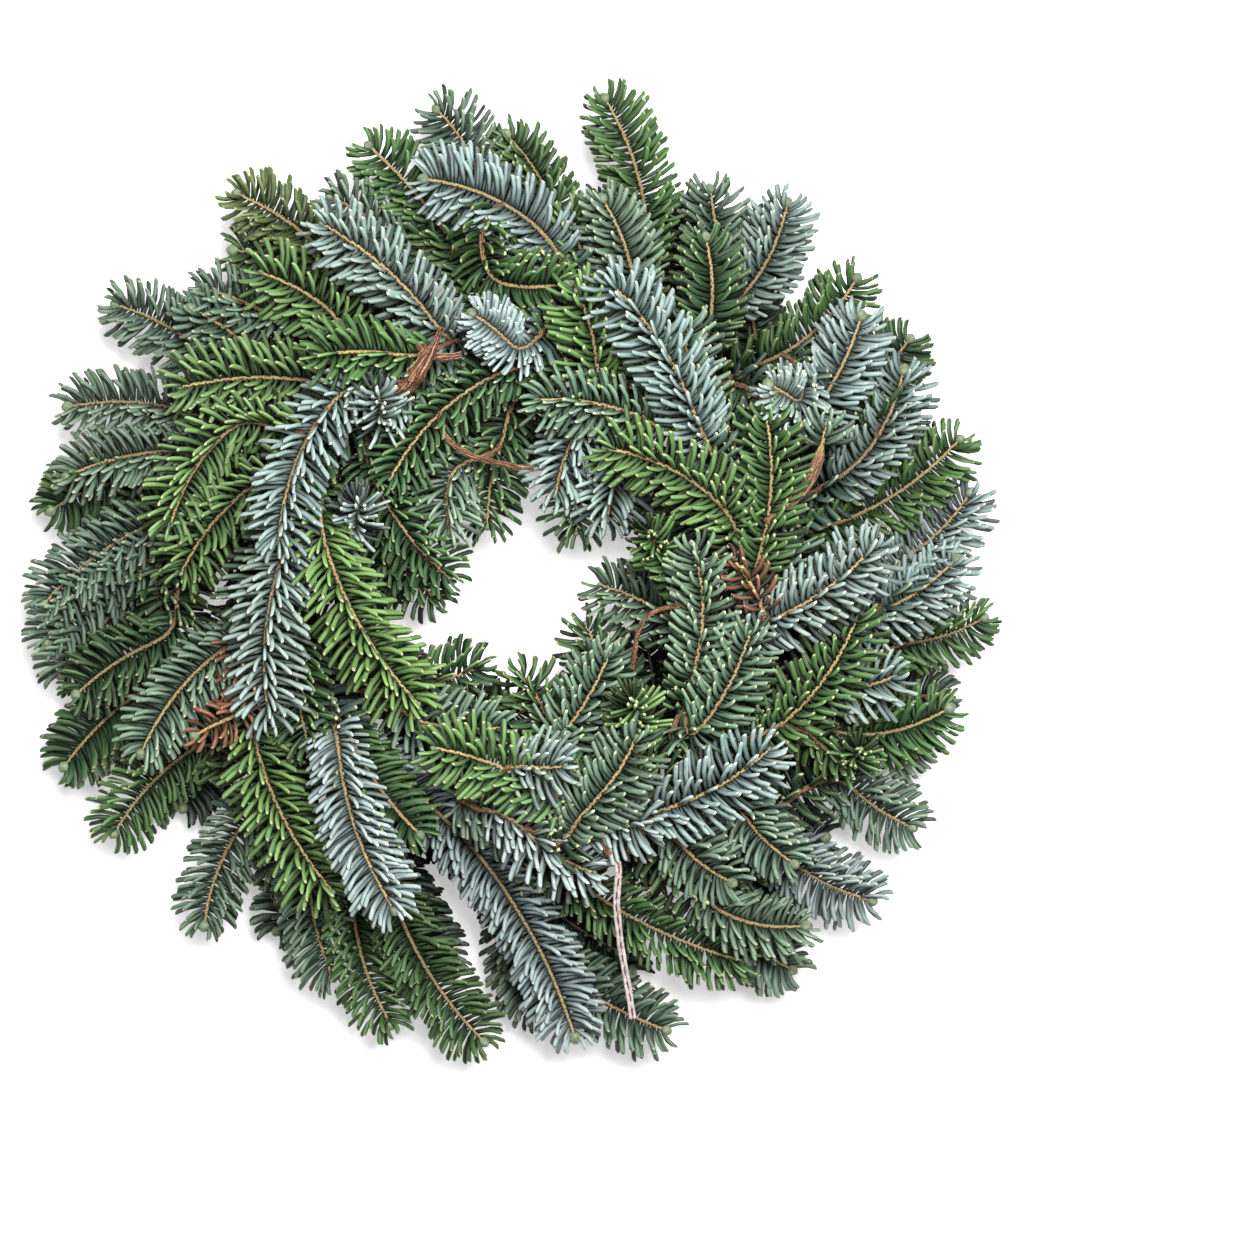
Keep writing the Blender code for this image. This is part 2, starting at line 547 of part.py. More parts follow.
# Needles: each triangular face of a leafy core is drawn out to a point.
wanted = []
for number, s in enumerate(shoots):
    s.apex = {}
    if s.bare:
        continue
    for index, face in enumerate(s.faces):
        if len(face) != 3:
            continue
        middle = s.verts[list(face)].mean(axis=0)
        nearest = int(np.argmin(np.linalg.norm(s.rings - middle, axis=1)))
        if min(face) < 3 and max(face) < 3:
            continue
        if max(face) == len(s.verts) - 1:
            continue
        station = s.stations[min(face) // 3]
        if station < s.leaf_at - 0.0005:
            continue
        wanted.append((number, index, middle, nearest))
rng.shuffle(wanted)

TRIES = [(0, 0, 1.0), (10, 0, 1.0), (0, 18, 1.0), (0, -18, 1.0), (16, 14, 0.92), (16, -14, 0.92),
         (-12, 0, 0.9), (24, 0, 0.8), (8, 30, 0.8), (8, -30, 0.8), (28, 0, 0.62), (12, 0, 0.55),
         (20, 20, 0.45), (20, -20, 0.45), (30, 0, 0.36)]


def needle_ways(s, middle, nearest, rng):
    """The ends that a needle may have, the best first."""
    t, side, up = s.axes[nearest]
    out = middle - s.rings[nearest]
    out = unit(out - t * float(out @ t))
    if out[2] < -0.2:
        out = unit(out + np.array([0, 0, 0.35]))
        out = unit(out - t * float(out @ t))
    across = np.cross(t, out)
    share = s.stations[nearest] / s.stations[-1]
    sweep = 42 + rng.uniform(-5, 5) + (18 * max(0.0, share - 0.85) / 0.15)
    size = NEEDLE_LENGTH * rng.uniform(0.88, 1.06) * (1 - 0.12 * max(0.0, share - 0.8) / 0.2)
    ends = []
    for tilt, roll, scale in TRIES:
        a = math.radians(sweep + tilt)
        r = math.radians(roll)
        ray = math.cos(r) * out + math.sin(r) * across
        ends.append(middle + size * scale * (math.cos(a) * ray + math.sin(a) * t))
    return np.array(ends)


BASE_R = 0.00095
for number, index, middle, nearest in wanted:
    s = shoots[number]
    ends = needle_ways(s, middle, nearest, rng)
    close = np.linalg.norm((book_a[:booked] + book_b[:booked]) / 2 - middle, axis=1) < 0.0215
    close &= (book_owner[:booked] != number) | book_needle[:booked]
    pick = np.nonzero(close)[0]
    own = book_owner[pick] == number
    lift = np.where(own, 0.30, 0.06)
    p0 = middle + (ends[:, None, :] - middle) * lift[None, :, None]
    p1 = np.broadcast_to(ends[:, None, :], p0.shape)
    shift = np.where(own, 0.30, 0.0)[:, None]
    q0 = book_a[pick] + (book_b[pick] - book_a[pick]) * shift
    q1 = book_b[pick]
    far, u, v = apart(p0, p1, q0[None], q1[None])
    mine = BASE_R * (1 - lift)[None, :] * (1 - u) + 0.00005
    theirs = book_r0[pick] * (1 - shift[:, 0])
    theirs = theirs[None, :] * (1 - v) + book_r1[pick][None, :] * v
    spare = np.where(own, 0.0001, GAP)
    fits = (far > mine + theirs + spare[None, :]).all(axis=1)
    fits &= ends[:, 2] > 0.0006
    fits &= (np.abs(ends[:, :2] - HOLE_CENTRE[:2]).max(axis=1) > HOLE_HALF)
    good = np.nonzero(fits)[0]
    if len(good) == 0:
        continue
    end = ends[good[0]]
    s.apex[index] = end
    book_a[booked] = middle
    book_b[booked] = end
    book_r0[booked] = BASE_R
    book_r1[booked] = 0.00005
    book_owner[booked] = number
    book_spray[booked] = SPRAY_CODE[s.spray]
    book_needle[booked] = True
    booked += 1


def shoot_mesh(s):
    """The core with its needles drawn out, and which needle each triangle belongs to."""
    verts = [tuple(v) for v in s.verts]
    faces = []
    marks = []
    for index, face in enumerate(s.faces):
        end = s.apex.get(index)
        if end is None:
            for k in range(1, len(face) - 1):
                faces.append((face[0], face[k], face[k + 1]))
                marks.append(-1)
            continue
        verts.append(tuple(end))
        tip = len(verts) - 1
        for k in range(len(face)):
            faces.append((face[k], face[(k + 1) % len(face)], tip))
            marks.append(index)
    return verts, faces, marks


def clear_crossings(shoots):
    """Shorten every needle that still crosses something. Returns how many were changed."""
    verts, faces, marks, owners = [], [], [], []
    for number, s in enumerate(shoots):
        v, f, m = shoot_mesh(s)
        base = len(verts)
        verts += v
        faces += [tuple(base + i for i in face) for face in f]
        marks += m
        owners += [number] * len(f)
    tree = BVHTree.FromPolygons(verts, faces, epsilon=0.0)
    bad = set()
    worst = []
    for i, j in tree.overlap(tree):
        if i >= j or set(faces[i]) & set(faces[j]):
            continue
        if marks[i] < 0 and marks[j] < 0:
            if shoots[owners[i]].spray != shoots[owners[j]].spray:
                worst.append((owners[i], owners[j]))
            continue
        if marks[j] >= 0:
            bad.add((owners[j], marks[j]))
        else:
            bad.add((owners[i], marks[i]))
    for number, index in bad:
        s = shoots[number]
        middle = s.verts[list(s.faces[index])].mean(axis=0)
        end = middle + (s.apex[index] - middle) * 0.6
        if np.linalg.norm(end - middle) < 0.0028:
            del s.apex[index]
        else:
            s.apex[index] = end
    return len(bad), sorted(set(worst))


for _ in range(16):
    changed, crossed = clear_crossings(shoots)
    print("needles shortened", changed, "cores crossed", crossed[:12])
    if not changed:
        break


def material(name, colour, rough):
    """A plain Principled material."""
    made = bpy.data.materials.new(name)
    made.use_nodes = True
    shader = made.node_tree.nodes["Principled BSDF"]
    shader.inputs["Base Color"].default_value = (*colour, 1.0)
    shader.inputs["Roughness"].default_value = rough
    return made


def mesh_object(name, verts, faces, look):
    """An object in the scene from points and faces."""
    mesh = bpy.data.meshes.new(name)
    mesh.from_pydata([tuple(float(c) for c in v) for v in verts], [], faces)
    mesh.materials.append(look)
    mesh.update()
    made = bpy.data.objects.new(name, mesh)
    bpy.context.scene.collection.objects.link(made)
    return made


# The whole wreath is moved so that its box stands centred on the origin.
every = np.vstack([np.array(shoot_mesh(s)[0]) for s in shoots])
low_corner = every.min(axis=0)
high_corner = every.max(axis=0)
MOVE = np.array([-(low_corner[0] + high_corner[0]) / 2, -(low_corner[1] + high_corner[1]) / 2, -low_corner[2]])

total_faces = 0
for name in spray_names:
    mine = [s for s in shoots if s.spray == name]
    look = material(name + "_look", TONES[mine[0].tone], 0.65)
    parts = []
    for i, s in enumerate(mine):
        verts, faces, _ = shoot_mesh(s)
        parts.append(mesh_object(name if i == 0 else "%s_side_%d" % (name, i),
                                 np.array(verts) + MOVE, faces, look))
    if len(parts) > 1:
        group = bpy.data.collections.new(name + "_sides")
        bpy.context.scene.collection.children.link(group)
        for side in parts[1:]:
            bpy.context.scene.collection.objects.unlink(side)
            group.objects.link(side)
        join = parts[0].modifiers.new("join", "BOOLEAN")
        join.operation = "UNION"
        join.operand_type = "COLLECTION"
        join.collection = group
        join.solver = "MANIFOLD"
        graph = bpy.context.evaluated_depsgraph_get()
        joined = bpy.data.meshes.new_from_object(parts[0].evaluated_get(graph))
        parts[0].modifiers.clear()
        parts[0].data = joined
        for side in parts[1:]:
            bpy.data.objects.remove(side, do_unlink=True)
        bpy.data.collections.remove(group)
    parts[0].data.name = name
    total_faces += sum(len(p.vertices) - 2 for p in parts[0].data.polygons)

# The twig ring under the foliage.
ring = mesh_object("ring", RING_VERTS + MOVE, RING_FACES, material("ring_look", TONES["k"], 0.8))
for face in ring.data.polygons:
    face.use_smooth = True
total_faces += len(RING_FACES)

# The tie cord hangs from the cut stems at the lower edge.
line = bpy.data.curves.new("hanging_twine", "CURVE")
line.dimensions = "3D"
line.bevel_depth = TWINE_DIAMETER / 2
line.bevel_resolution = 2
line.use_fill_caps = True
run = line.splines.new("POLY")
run.points.add(len(twine_way) - 1)
for point, place in zip(run.points, twine_way + MOVE):
    point.co = (*[float(c) for c in place], 1.0)
line.materials.append(material("twine_look", (0.75, 0.62, 0.58), 0.9))
cord = bpy.data.objects.new("hanging_twine", line)
bpy.context.scene.collection.objects.link(cord)

short = [len(s.apex) for s in shoots if not s.bare]
tight = []
count = len(solid_a)
sa, sb = np.array(solid_a), np.array(solid_b)
sr, so = np.array(solid_r0), np.array([SPRAY_CODE[n] for n in solid_spray])
for i in range(count):
    far, u, v = apart(sa[i][None], sb[i][None], sa, sb)
    room = far - sr[i] - sr
    for j in np.nonzero((room < GAP) & (so != so[i]))[0]:
        if j > i and room[j] < 0.0002:
            tight.append((solid_spray[i], solid_owner[i], solid_spray[j], solid_owner[j], round(float(room[j]) * 1000, 2)))
print("tight cores", tight[:14])
print("shoots", len(shoots), "needles", sum(short), "fewest on a shoot", min(short), "triangles", total_faces)
print("moved by", MOVE, "box", low_corner + MOVE, high_corner + MOVE)
print("hole centre", HOLE_CENTRE + MOVE, "ring centre", RING_CENTRE + MOVE)
for s in shoots:
    if s.foot:
        print("foot", s.spray, (s.rings[2] + s.rings[3]) / 2 + MOVE)
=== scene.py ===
"""The looks of a round noble fir wreath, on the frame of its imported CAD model."""

import math
import random

import bpy
import numpy as np
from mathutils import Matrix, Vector


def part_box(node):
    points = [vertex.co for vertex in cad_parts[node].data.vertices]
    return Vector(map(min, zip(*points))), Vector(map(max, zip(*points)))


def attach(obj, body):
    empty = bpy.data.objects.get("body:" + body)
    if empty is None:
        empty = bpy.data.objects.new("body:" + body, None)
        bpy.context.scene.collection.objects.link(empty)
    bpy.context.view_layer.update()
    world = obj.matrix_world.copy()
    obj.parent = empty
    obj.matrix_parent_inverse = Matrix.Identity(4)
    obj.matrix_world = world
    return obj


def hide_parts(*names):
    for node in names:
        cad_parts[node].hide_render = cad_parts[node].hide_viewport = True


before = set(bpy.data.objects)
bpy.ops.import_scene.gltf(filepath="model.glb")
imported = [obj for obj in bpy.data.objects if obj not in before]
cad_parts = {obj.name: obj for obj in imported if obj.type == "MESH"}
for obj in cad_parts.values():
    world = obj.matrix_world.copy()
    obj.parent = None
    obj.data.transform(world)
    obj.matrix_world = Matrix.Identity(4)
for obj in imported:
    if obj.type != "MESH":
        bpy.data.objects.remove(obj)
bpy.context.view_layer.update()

# The layout of the wreath. A florist pushes forked fir sprays into a hidden ring of bent twigs, all
# leaning one way round it. The shoots are laid out here as in the CAD wreath, from the same map and
# by the same rules, in metres, so that each finer piece lies where its solid does.
MAP_UNIT = 0.00028        # one unit of the shoot map below
MAP_MID = (514, 565)      # the map's point at x = 0, y = 0
RING_MID = (518, 578)     # the twig ring's middle on the map
RING_RADIUS = 0.0680
RING_TUBE = 0.0042
RING_Z = 0.0280
SHOOT_RADIUS = 0.0012     # a leafy shoot's core
STEM_RADIUS = 0.0017      # a bare stem
GAP = 0.0003              # kept between separate pieces
FOOT_RADIUS = 0.0022      # of the bare twigs that the wreath rests on
FOOT_SPRAYS = ("under_spray_02", "under_spray_05", "under_spray_09")
UNDER_SPRAYS = 10
FILLS = [                 # how many more shoots, their radii, turn, heights in mm: dark inner foliage
    (12, 0.064, 0.076, 0.46, 39, 41),
    (14, 0.084, 0.110, 0.30, 17, 15),
    (8, 0.056, 0.040, 0.55, 22, 19),
]
LEAF_BACK = 0.010         # needles reach this far back down a stem
SEED = 7

# The sprays by the place they take, numbered in this order, each with its shoots. A shoot is (from x,
# from y, to x, to y, from height, to height, bend, tone): where its needles start and where its tip
# is, on the map, both heights in mm above the floor, the sideways bend as a share of its length, and
# its colour. "k" is bare wood with its radius in mm in place of the bend. The first shoot's stem
# starts on the ring, the others fork from the first one's.
SPRAYS = {
    "outer": [
        [(652, 215, 610, 80, 25, 21, 0.06, "g"), (638, 270, 608, 190, 37, 38, 0.05, "s")],
        [(555, 195, 508, 118, 26, 22, 0.06, "g"), (480, 172, 435, 90, 24, 20, 0.08, "t")],
        [(545, 220, 425, 165, 37, 35, 0.08, "b"), (515, 345, 476, 311, 47, 60, 0.05, "w"),
         (500, 275, 565, 275, 42, 44, 0.05, "g")],
        [(475, 275, 365, 130, 31, 26, 0.05, "g"), (385, 225, 325, 180, 27, 23, 0.06, "s")],
        [(312, 235, 228, 178, 27, 23, 0.05, "o"), (300, 235, 225, 235, 24, 20, -0.04, "g"),
         (250, 300, 190, 277, 29, 25, 0.05, "s")],
        [(200, 350, 100, 292, 25, 19, 0.06, "t"), (245, 345, 182, 298, 30, 27, 0.05, "t")],
        [(190, 410, 52, 397, 24, 19, 0.07, "s"), (190, 445, 50, 470, 28, 23, 0.06, "s")],
        [(150, 515, 26, 600, 26, 22, 0.06, "t"), (100, 475, 32, 503, 21, 17, 0.05, "g")],
        [(165, 545, 28, 640, 24, 18, 0.06, "t"), (140, 580, 40, 675, 19, 14, 0.06, "t"),
         (150, 640, 60, 695, 26, 21, 0.05, "d"), (150, 680, 45, 770, 22, 16, 0.06, "d")],
        [(230, 640, 130, 755, 37, 35, 0.08, "s"), (232, 720, 190, 738, 42, 41, 0.05, "r")],
        [(250, 810, 190, 935, 26, 20, 0.08, "t"), (185, 750, 97, 840, 25, 19, 0.06, "g")],
        [(345, 890, 382, 1040, 25, 18, 0.07, "g"), (300, 850, 322, 990, 26, 19, 0.06, "t"),
         (385, 900, 478, 1058, 27, 18, 0.06, "g")],
        [(345, 745, 575, 1050, 39, 22, -0.09, "w"), (335, 750, 390, 915, 49, 47, 0.06, "w")],
        [(575, 890, 750, 975, 29, 22, 0.05, "g"), (520, 950, 668, 1048, 24, 18, 0.06, "t")],
        [(740, 930, 812, 940, 26, 22, 0.06, "s"), (738, 938, 800, 985, 21, 16, 0.05, "s"),
         (680, 845, 735, 890, 36, 33, 0.06, "s")],
        [(800, 870, 882, 912, 26, 21, 0.05, "b"), (750, 820, 800, 870, 36, 33, 0.05, "s"),
         (860, 790, 925, 835, 25, 21, 0.05, "s")],
        [(880, 740, 962, 715, 27, 22, 0.06, "g"), (875, 748, 935, 755, 21, 17, 0.05, "s"),
         (915, 645, 1000, 620, 24, 19, 0.06, "g")],
        [(885, 615, 970, 560, 31, 28, 0.06, "b"), (915, 560, 987, 492, 25, 20, 0.06, "b")],
        [(850, 520, 975, 435, 28, 22, 0.06, "g")],
        [(878, 450, 917, 365, 27, 22, 0.06, "b"), (880, 375, 925, 330, 22, 17, 0.05, "d")],
        [(800, 340, 868, 268, 27, 22, 0.06, "g"), (815, 410, 872, 310, 36, 33, 0.06, "b"),
         (806, 398, 780, 382, 43, 50, 0.05, "b")],
        [(718, 300, 718, 175, 27, 22, 0.05, "t"), (717, 315, 713, 230, 37, 38, 0.05, "d"),
         (755, 280, 797, 190, 28, 23, 0.06, "b")],
    ],
    "top": [
        [(440, 325, 320, 215, 47, 48, 0.06, "b"), (410, 352, 315, 350, 51, 53, 0.05, "g"),
         (377, 418, 377, 389, 47, 61, 0.03, "w"), (402, 388, 443, 322, 54, 56, 2.6, "k"),
         (424, 356, 462, 352, 54, 54, 1.4, "k")],
        [(315, 375, 172, 380, 42, 39, 0.05, "l"), (330, 305, 255, 262, 38, 36, 0.05, "l")],
        [(330, 395, 275, 540, 50, 51, 0.08, "b"), (225, 420, 160, 520, 40, 38, 0.08, "l"),
         (235, 490, 170, 570, 35, 32, 0.06, "l")],
        [(275, 560, 262, 720, 47, 45, 0.06, "b"), (352, 524, 356, 501, 46, 59, 0.03, "w")],
        [(320, 540, 415, 705, 47, 49, 0.06, "l")],
        [(245, 740, 325, 900, 40, 36, 0.06, "l")],
        [(550, 800, 435, 752, 49, 51, 0.06, "l"), (520, 770, 565, 770, 51, 55, 0.05, "b")],
        [(520, 830, 595, 880, 44, 43, 0.06, "w"), (605, 825, 650, 832, 46, 47, 0.05, "b"),
         (590, 815, 640, 742, 50, 57, 0.05, "t"), (599, 839, 616, 862, 47, 50, 1.7, "k")],
        [(655, 820, 775, 755, 48, 50, 0.06, "b"), (640, 728, 637, 704, 47, 61, 0.03, "l"),
         (640, 842, 634, 860, 47, 49, 1.6, "k")],
        [(705, 650, 700, 550, 49, 52, 0.06, "s"), (695, 745, 757, 635, 46, 49, 0.06, "s"),
         (662, 552, 655, 532, 45, 57, 0.03, "g"), (645, 622, 637, 670, 50, 43, 0.8, "k")],
        [(800, 720, 868, 617, 43, 43, 0.06, "g"), (850, 692, 905, 680, 37, 36, 0.06, "b"),
         (858, 768, 870, 754, 37, 49, 0.03, "g")],
        [(770, 625, 885, 545, 50, 50, 0.06, "b"), (768, 606, 741, 560, 55, 53, 0.05, "r")],
        [(768, 555, 774, 412, 47, 49, 0.06, "g"), (815, 485, 835, 422, 45, 46, 0.05, "s")],
        [(700, 410, 613, 275, 50, 52, 0.06, "b"), (705, 425, 693, 320, 45, 46, -0.06, "s")],
        [(600, 370, 580, 285, 43, 48, 0.06, "l"), (585, 275, 567, 197, 33, 31, 0.05, "l")],
        [(500, 365, 388, 473, 45, 41, 0.08, "d"), (470, 452, 535, 465, 47, 46, 0.9, "k")],
        [(640, 410, 540, 395, 46, 47, 0.06, "t"), (590, 410, 557, 490, 42, 35, 0.06, "b")],
        [(725, 500, 610, 445, 52, 50, 0.08, "l")],
    ],
    "inner": [
        [(365, 465, 445, 575, 36, 28, 0.06, "d"), (355, 480, 430, 598, 28, 20, 0.06, "d")],
        [(500, 440, 486, 522, 33, 26, 0.05, "d"), (448, 470, 447, 528, 38, 33, 0.05, "s")],
        [(595, 465, 578, 528, 32, 25, 0.05, "d"), (625, 462, 610, 515, 38, 32, 0.05, "b")],
        [(690, 628, 605, 585, 34, 27, 0.05, "t")],
        [(610, 690, 588, 627, 32, 26, 0.05, "d"), (550, 755, 612, 657, 39, 36, 0.05, "t"),
         (550, 730, 522, 678, 36, 30, 0.05, "g")],
        [(395, 692, 478, 668, 34, 28, 0.05, "d"), (415, 725, 500, 732, 42, 43, 0.05, "t")],
    ],
}

# The tie cord starts on the end of this spray's cut stem, then follows this route on the map, with
# heights in mm.
TIED_SPRAY = "top_spray_08"
TWINE_ROUTE = [(622, 882, 49), (620, 912, 45), (624, 955, 38), (632, 1000, 33), (637, 1034, 30)]


def on_map(x, y, z):
    """A map point in metres."""
    return np.array([(x - MAP_MID[0]) * MAP_UNIT, (MAP_MID[1] - y) * MAP_UNIT, z])


def unit(v):
    """The vector at length one."""
    return v / max(float(np.linalg.norm(v)), 1e-12)


def bezier(a, b, c, d, count):
    """Points on a cubic curve from a to d."""
    t = np.linspace(0.0, 1.0, count)[:, None]
    return a * (1 - t) ** 3 + 3 * b * t * (1 - t) ** 2 + 3 * c * t * t * (1 - t) + d * t ** 3


def lengths(points):
    """The distance along a path to each of its points."""
    return np.concatenate([[0.0], np.cumsum(np.linalg.norm(np.diff(points, axis=0), axis=1))])


def at(points, where):
    """Points at the given distances along a path."""
    along = lengths(points)
    return np.stack([np.interp(where, along, points[:, i]) for i in range(3)], axis=-1)


RING_CENTRE = on_map(RING_MID[0], RING_MID[1], RING_Z)


def ring_point(angle):
    """A point on the ring's middle line."""
    return RING_CENTRE + RING_RADIUS * np.array([math.cos(angle), math.sin(angle), 0.0])


def under_rows(number, rng):
    """The shoots of one spray on the underside, set round the ring by a rule."""
    turn = 2 * math.pi * (number + 0.25) / UNDER_SPRAYS
    rows = []
    # Each starts at a radius and turn, ends at a radius and turn, and has two heights in mm.
    plan = [(0.072, 0.10, 0.120, 0.42, 13.0, 10.0), (0.066, 0.14, 0.083, 0.68, 12.0, 9.0),
            (0.062, 0.18, 0.040, 0.60, 14.0, 12.0), (0.092, 0.16, 0.127, 0.20, 12.5, 12.0)]
    for near, turn_a, far, turn_b, low, high in plan:
        a = ring_side(near, turn + turn_a + rng.uniform(-0.05, 0.05))
        b = ring_side(far + rng.uniform(-0.004, 0.003), turn + turn_b + rng.uniform(-0.05, 0.05))
        rows.append((*a, *b, low, high, 0.06, rng.choice("gtds")))
    return rows


def ring_side(radius, angle):
    """A map position at a radius and angle round the ring's middle."""
    return (RING_MID[0] + radius * math.cos(angle) / MAP_UNIT,
            RING_MID[1] - radius * math.sin(angle) / MAP_UNIT)


class Shoot:
    """One path with its spray, its mother shoot and where its needles start."""

    def __init__(self, spray, row, mother):
        bx, by, tx, ty, low, high, bend, tone = row
        self.spray = spray
        self.mother = mother
        self.tone = tone
        self.bare = tone in "kf"
        self.foot = tone == "f"
        self.radius = SHOOT_RADIUS
        if self.bare:
            self.radius = bend * 0.001
            bend = 0.03
        start = on_map(bx, by, low * 0.001)
        tip = on_map(tx, ty, high * 0.001)
        way = tip - start
        side = unit(np.array([-way[1], way[0], 0.0]))
        middle = (start + tip) / 2 - side * bend * 2 * np.linalg.norm(way)
        if self.foot:
            middle = (start + tip) / 2
        heading = unit(middle - start)
        if mother is None:
            back = start - heading * 0.022
            angle = math.atan2(back[1] - RING_CENTRE[1], back[0] - RING_CENTRE[0])
            seat = ring_point(angle)
            along = np.array([-math.sin(angle), math.cos(angle), 0.0])
            out = start - seat
            out = unit(out - along * float(out @ along))
            root = seat + out * (RING_TUBE + STEM_RADIUS + GAP + 0.0004)
            leaving = unit(out + 0.8 * along)
            self.joint = 0
        else:
            want = start - heading * (0.010 if self.bare else 0.014)
            far = np.linalg.norm(mother.points - want, axis=1)
            last = int(len(mother.points) * 0.7)
            self.joint = int(np.argmin(far[2:last])) + 2
            root = mother.points[self.joint]
            leaving = unit(mother.points[self.joint + 1] - mother.points[self.joint - 1])
        reach = float(np.linalg.norm(start - root))
        stem = bezier(root, root + leaving * reach * 0.35, start - heading * reach * 0.35, start, 16)
        leafy = bezier(start, start + (middle - start) * 2 / 3, tip + (middle - tip) * 2 / 3, tip, 16)
        whole = np.vstack([stem, leafy[1:]])
        total = lengths(whole)
        self.total = total[-1]
        self.leaf_from = total[15] - (0.0 if self.bare else min(LEAF_BACK, 0.45 * total[15]))
        count = max(5, int(round(self.total / 0.004)) + 1)
        self.points = at(whole, np.linspace(0, self.total, count))


rng = random.Random(SEED)
shoots = []
spray_names = []
SPRAYS["under"] = [under_rows(i, rng) for i in range(UNDER_SPRAYS)]
for name, rows in [("%s_spray_%02d" % (kind, i + 1), rows)
                   for kind, sprays in SPRAYS.items() for i, rows in enumerate(sprays)]:
    spray_names.append(name)
    first = None
    for row in rows:
        made = Shoot(name, row, first)
        shoots.append(made)
        if first is None:
            first = made
    if name in FOOT_SPRAYS:
        number = int(name[-2:]) - 1
        turn = 2 * math.pi * (number + 0.25) / UNDER_SPRAYS
        a = ring_side(0.074, turn + 0.24)
        b = ring_side(0.094, turn + 0.34)
        low = FOOT_RADIUS * math.cos(math.pi / 6) * 1000
        shoots.append(Shoot(name, (*a, *b, low, low, FOOT_RADIUS * 1000, "f"), first))

for count, near, far, swing, low, high in FILLS:
    for i in range(count):
        turn = 2 * math.pi * (i + 0.4) / count
        a = ring_side(near + rng.uniform(-0.003, 0.003), turn)
        b = ring_side(far + rng.uniform(-0.004, 0.004), turn + swing)
        row = (*a, *b, low, high, 0.05, rng.choice("dtg"))
        want = on_map(a[0], a[1], low * 0.001)
        mains = [s for s in shoots if s.mother is None and s.spray.startswith("under") == (low < 30)]
        first = min(mains, key=lambda m: np.linalg.norm(m.points[1:7] - want, axis=1).min())
        last = max(j for j, s in enumerate(shoots) if s.spray == first.spray)
        shoots.insert(last + 1, Shoot(first.spray, row, first))

tied = [s for s in shoots if s.spray == TIED_SPRAY and s.tone == "k"][0]
ahead = unit(tied.points[-1] - tied.points[-2])
twine_points = [tied.points[-1] + ahead * (GAP + 0.0001)]
twine_points += [on_map(x, y, z * 0.001) for x, y, z in TWINE_ROUTE]
twine_points = np.vstack([bezier(twine_points[0], twine_points[0] + ahead * 0.003,
                                 twine_points[1] - unit(twine_points[2] - twine_points[1]) * 0.003,
                                 twine_points[1], 8), np.array(twine_points[2:])])
twine_way = at(twine_points, np.linspace(0, lengths(twine_points)[-1], 24))


LEAFY_APART = 0.0080      # kept between the middles of two leafy shoots
MIXED_APART = 0.0056      # of a leafy shoot and a stem
WOOD_APART = 0.0044       # of two stems
CORD_APART = 0.0046       # of a shoot and the tie cord
LONGEST_MOVE = 0.0016     # in one round


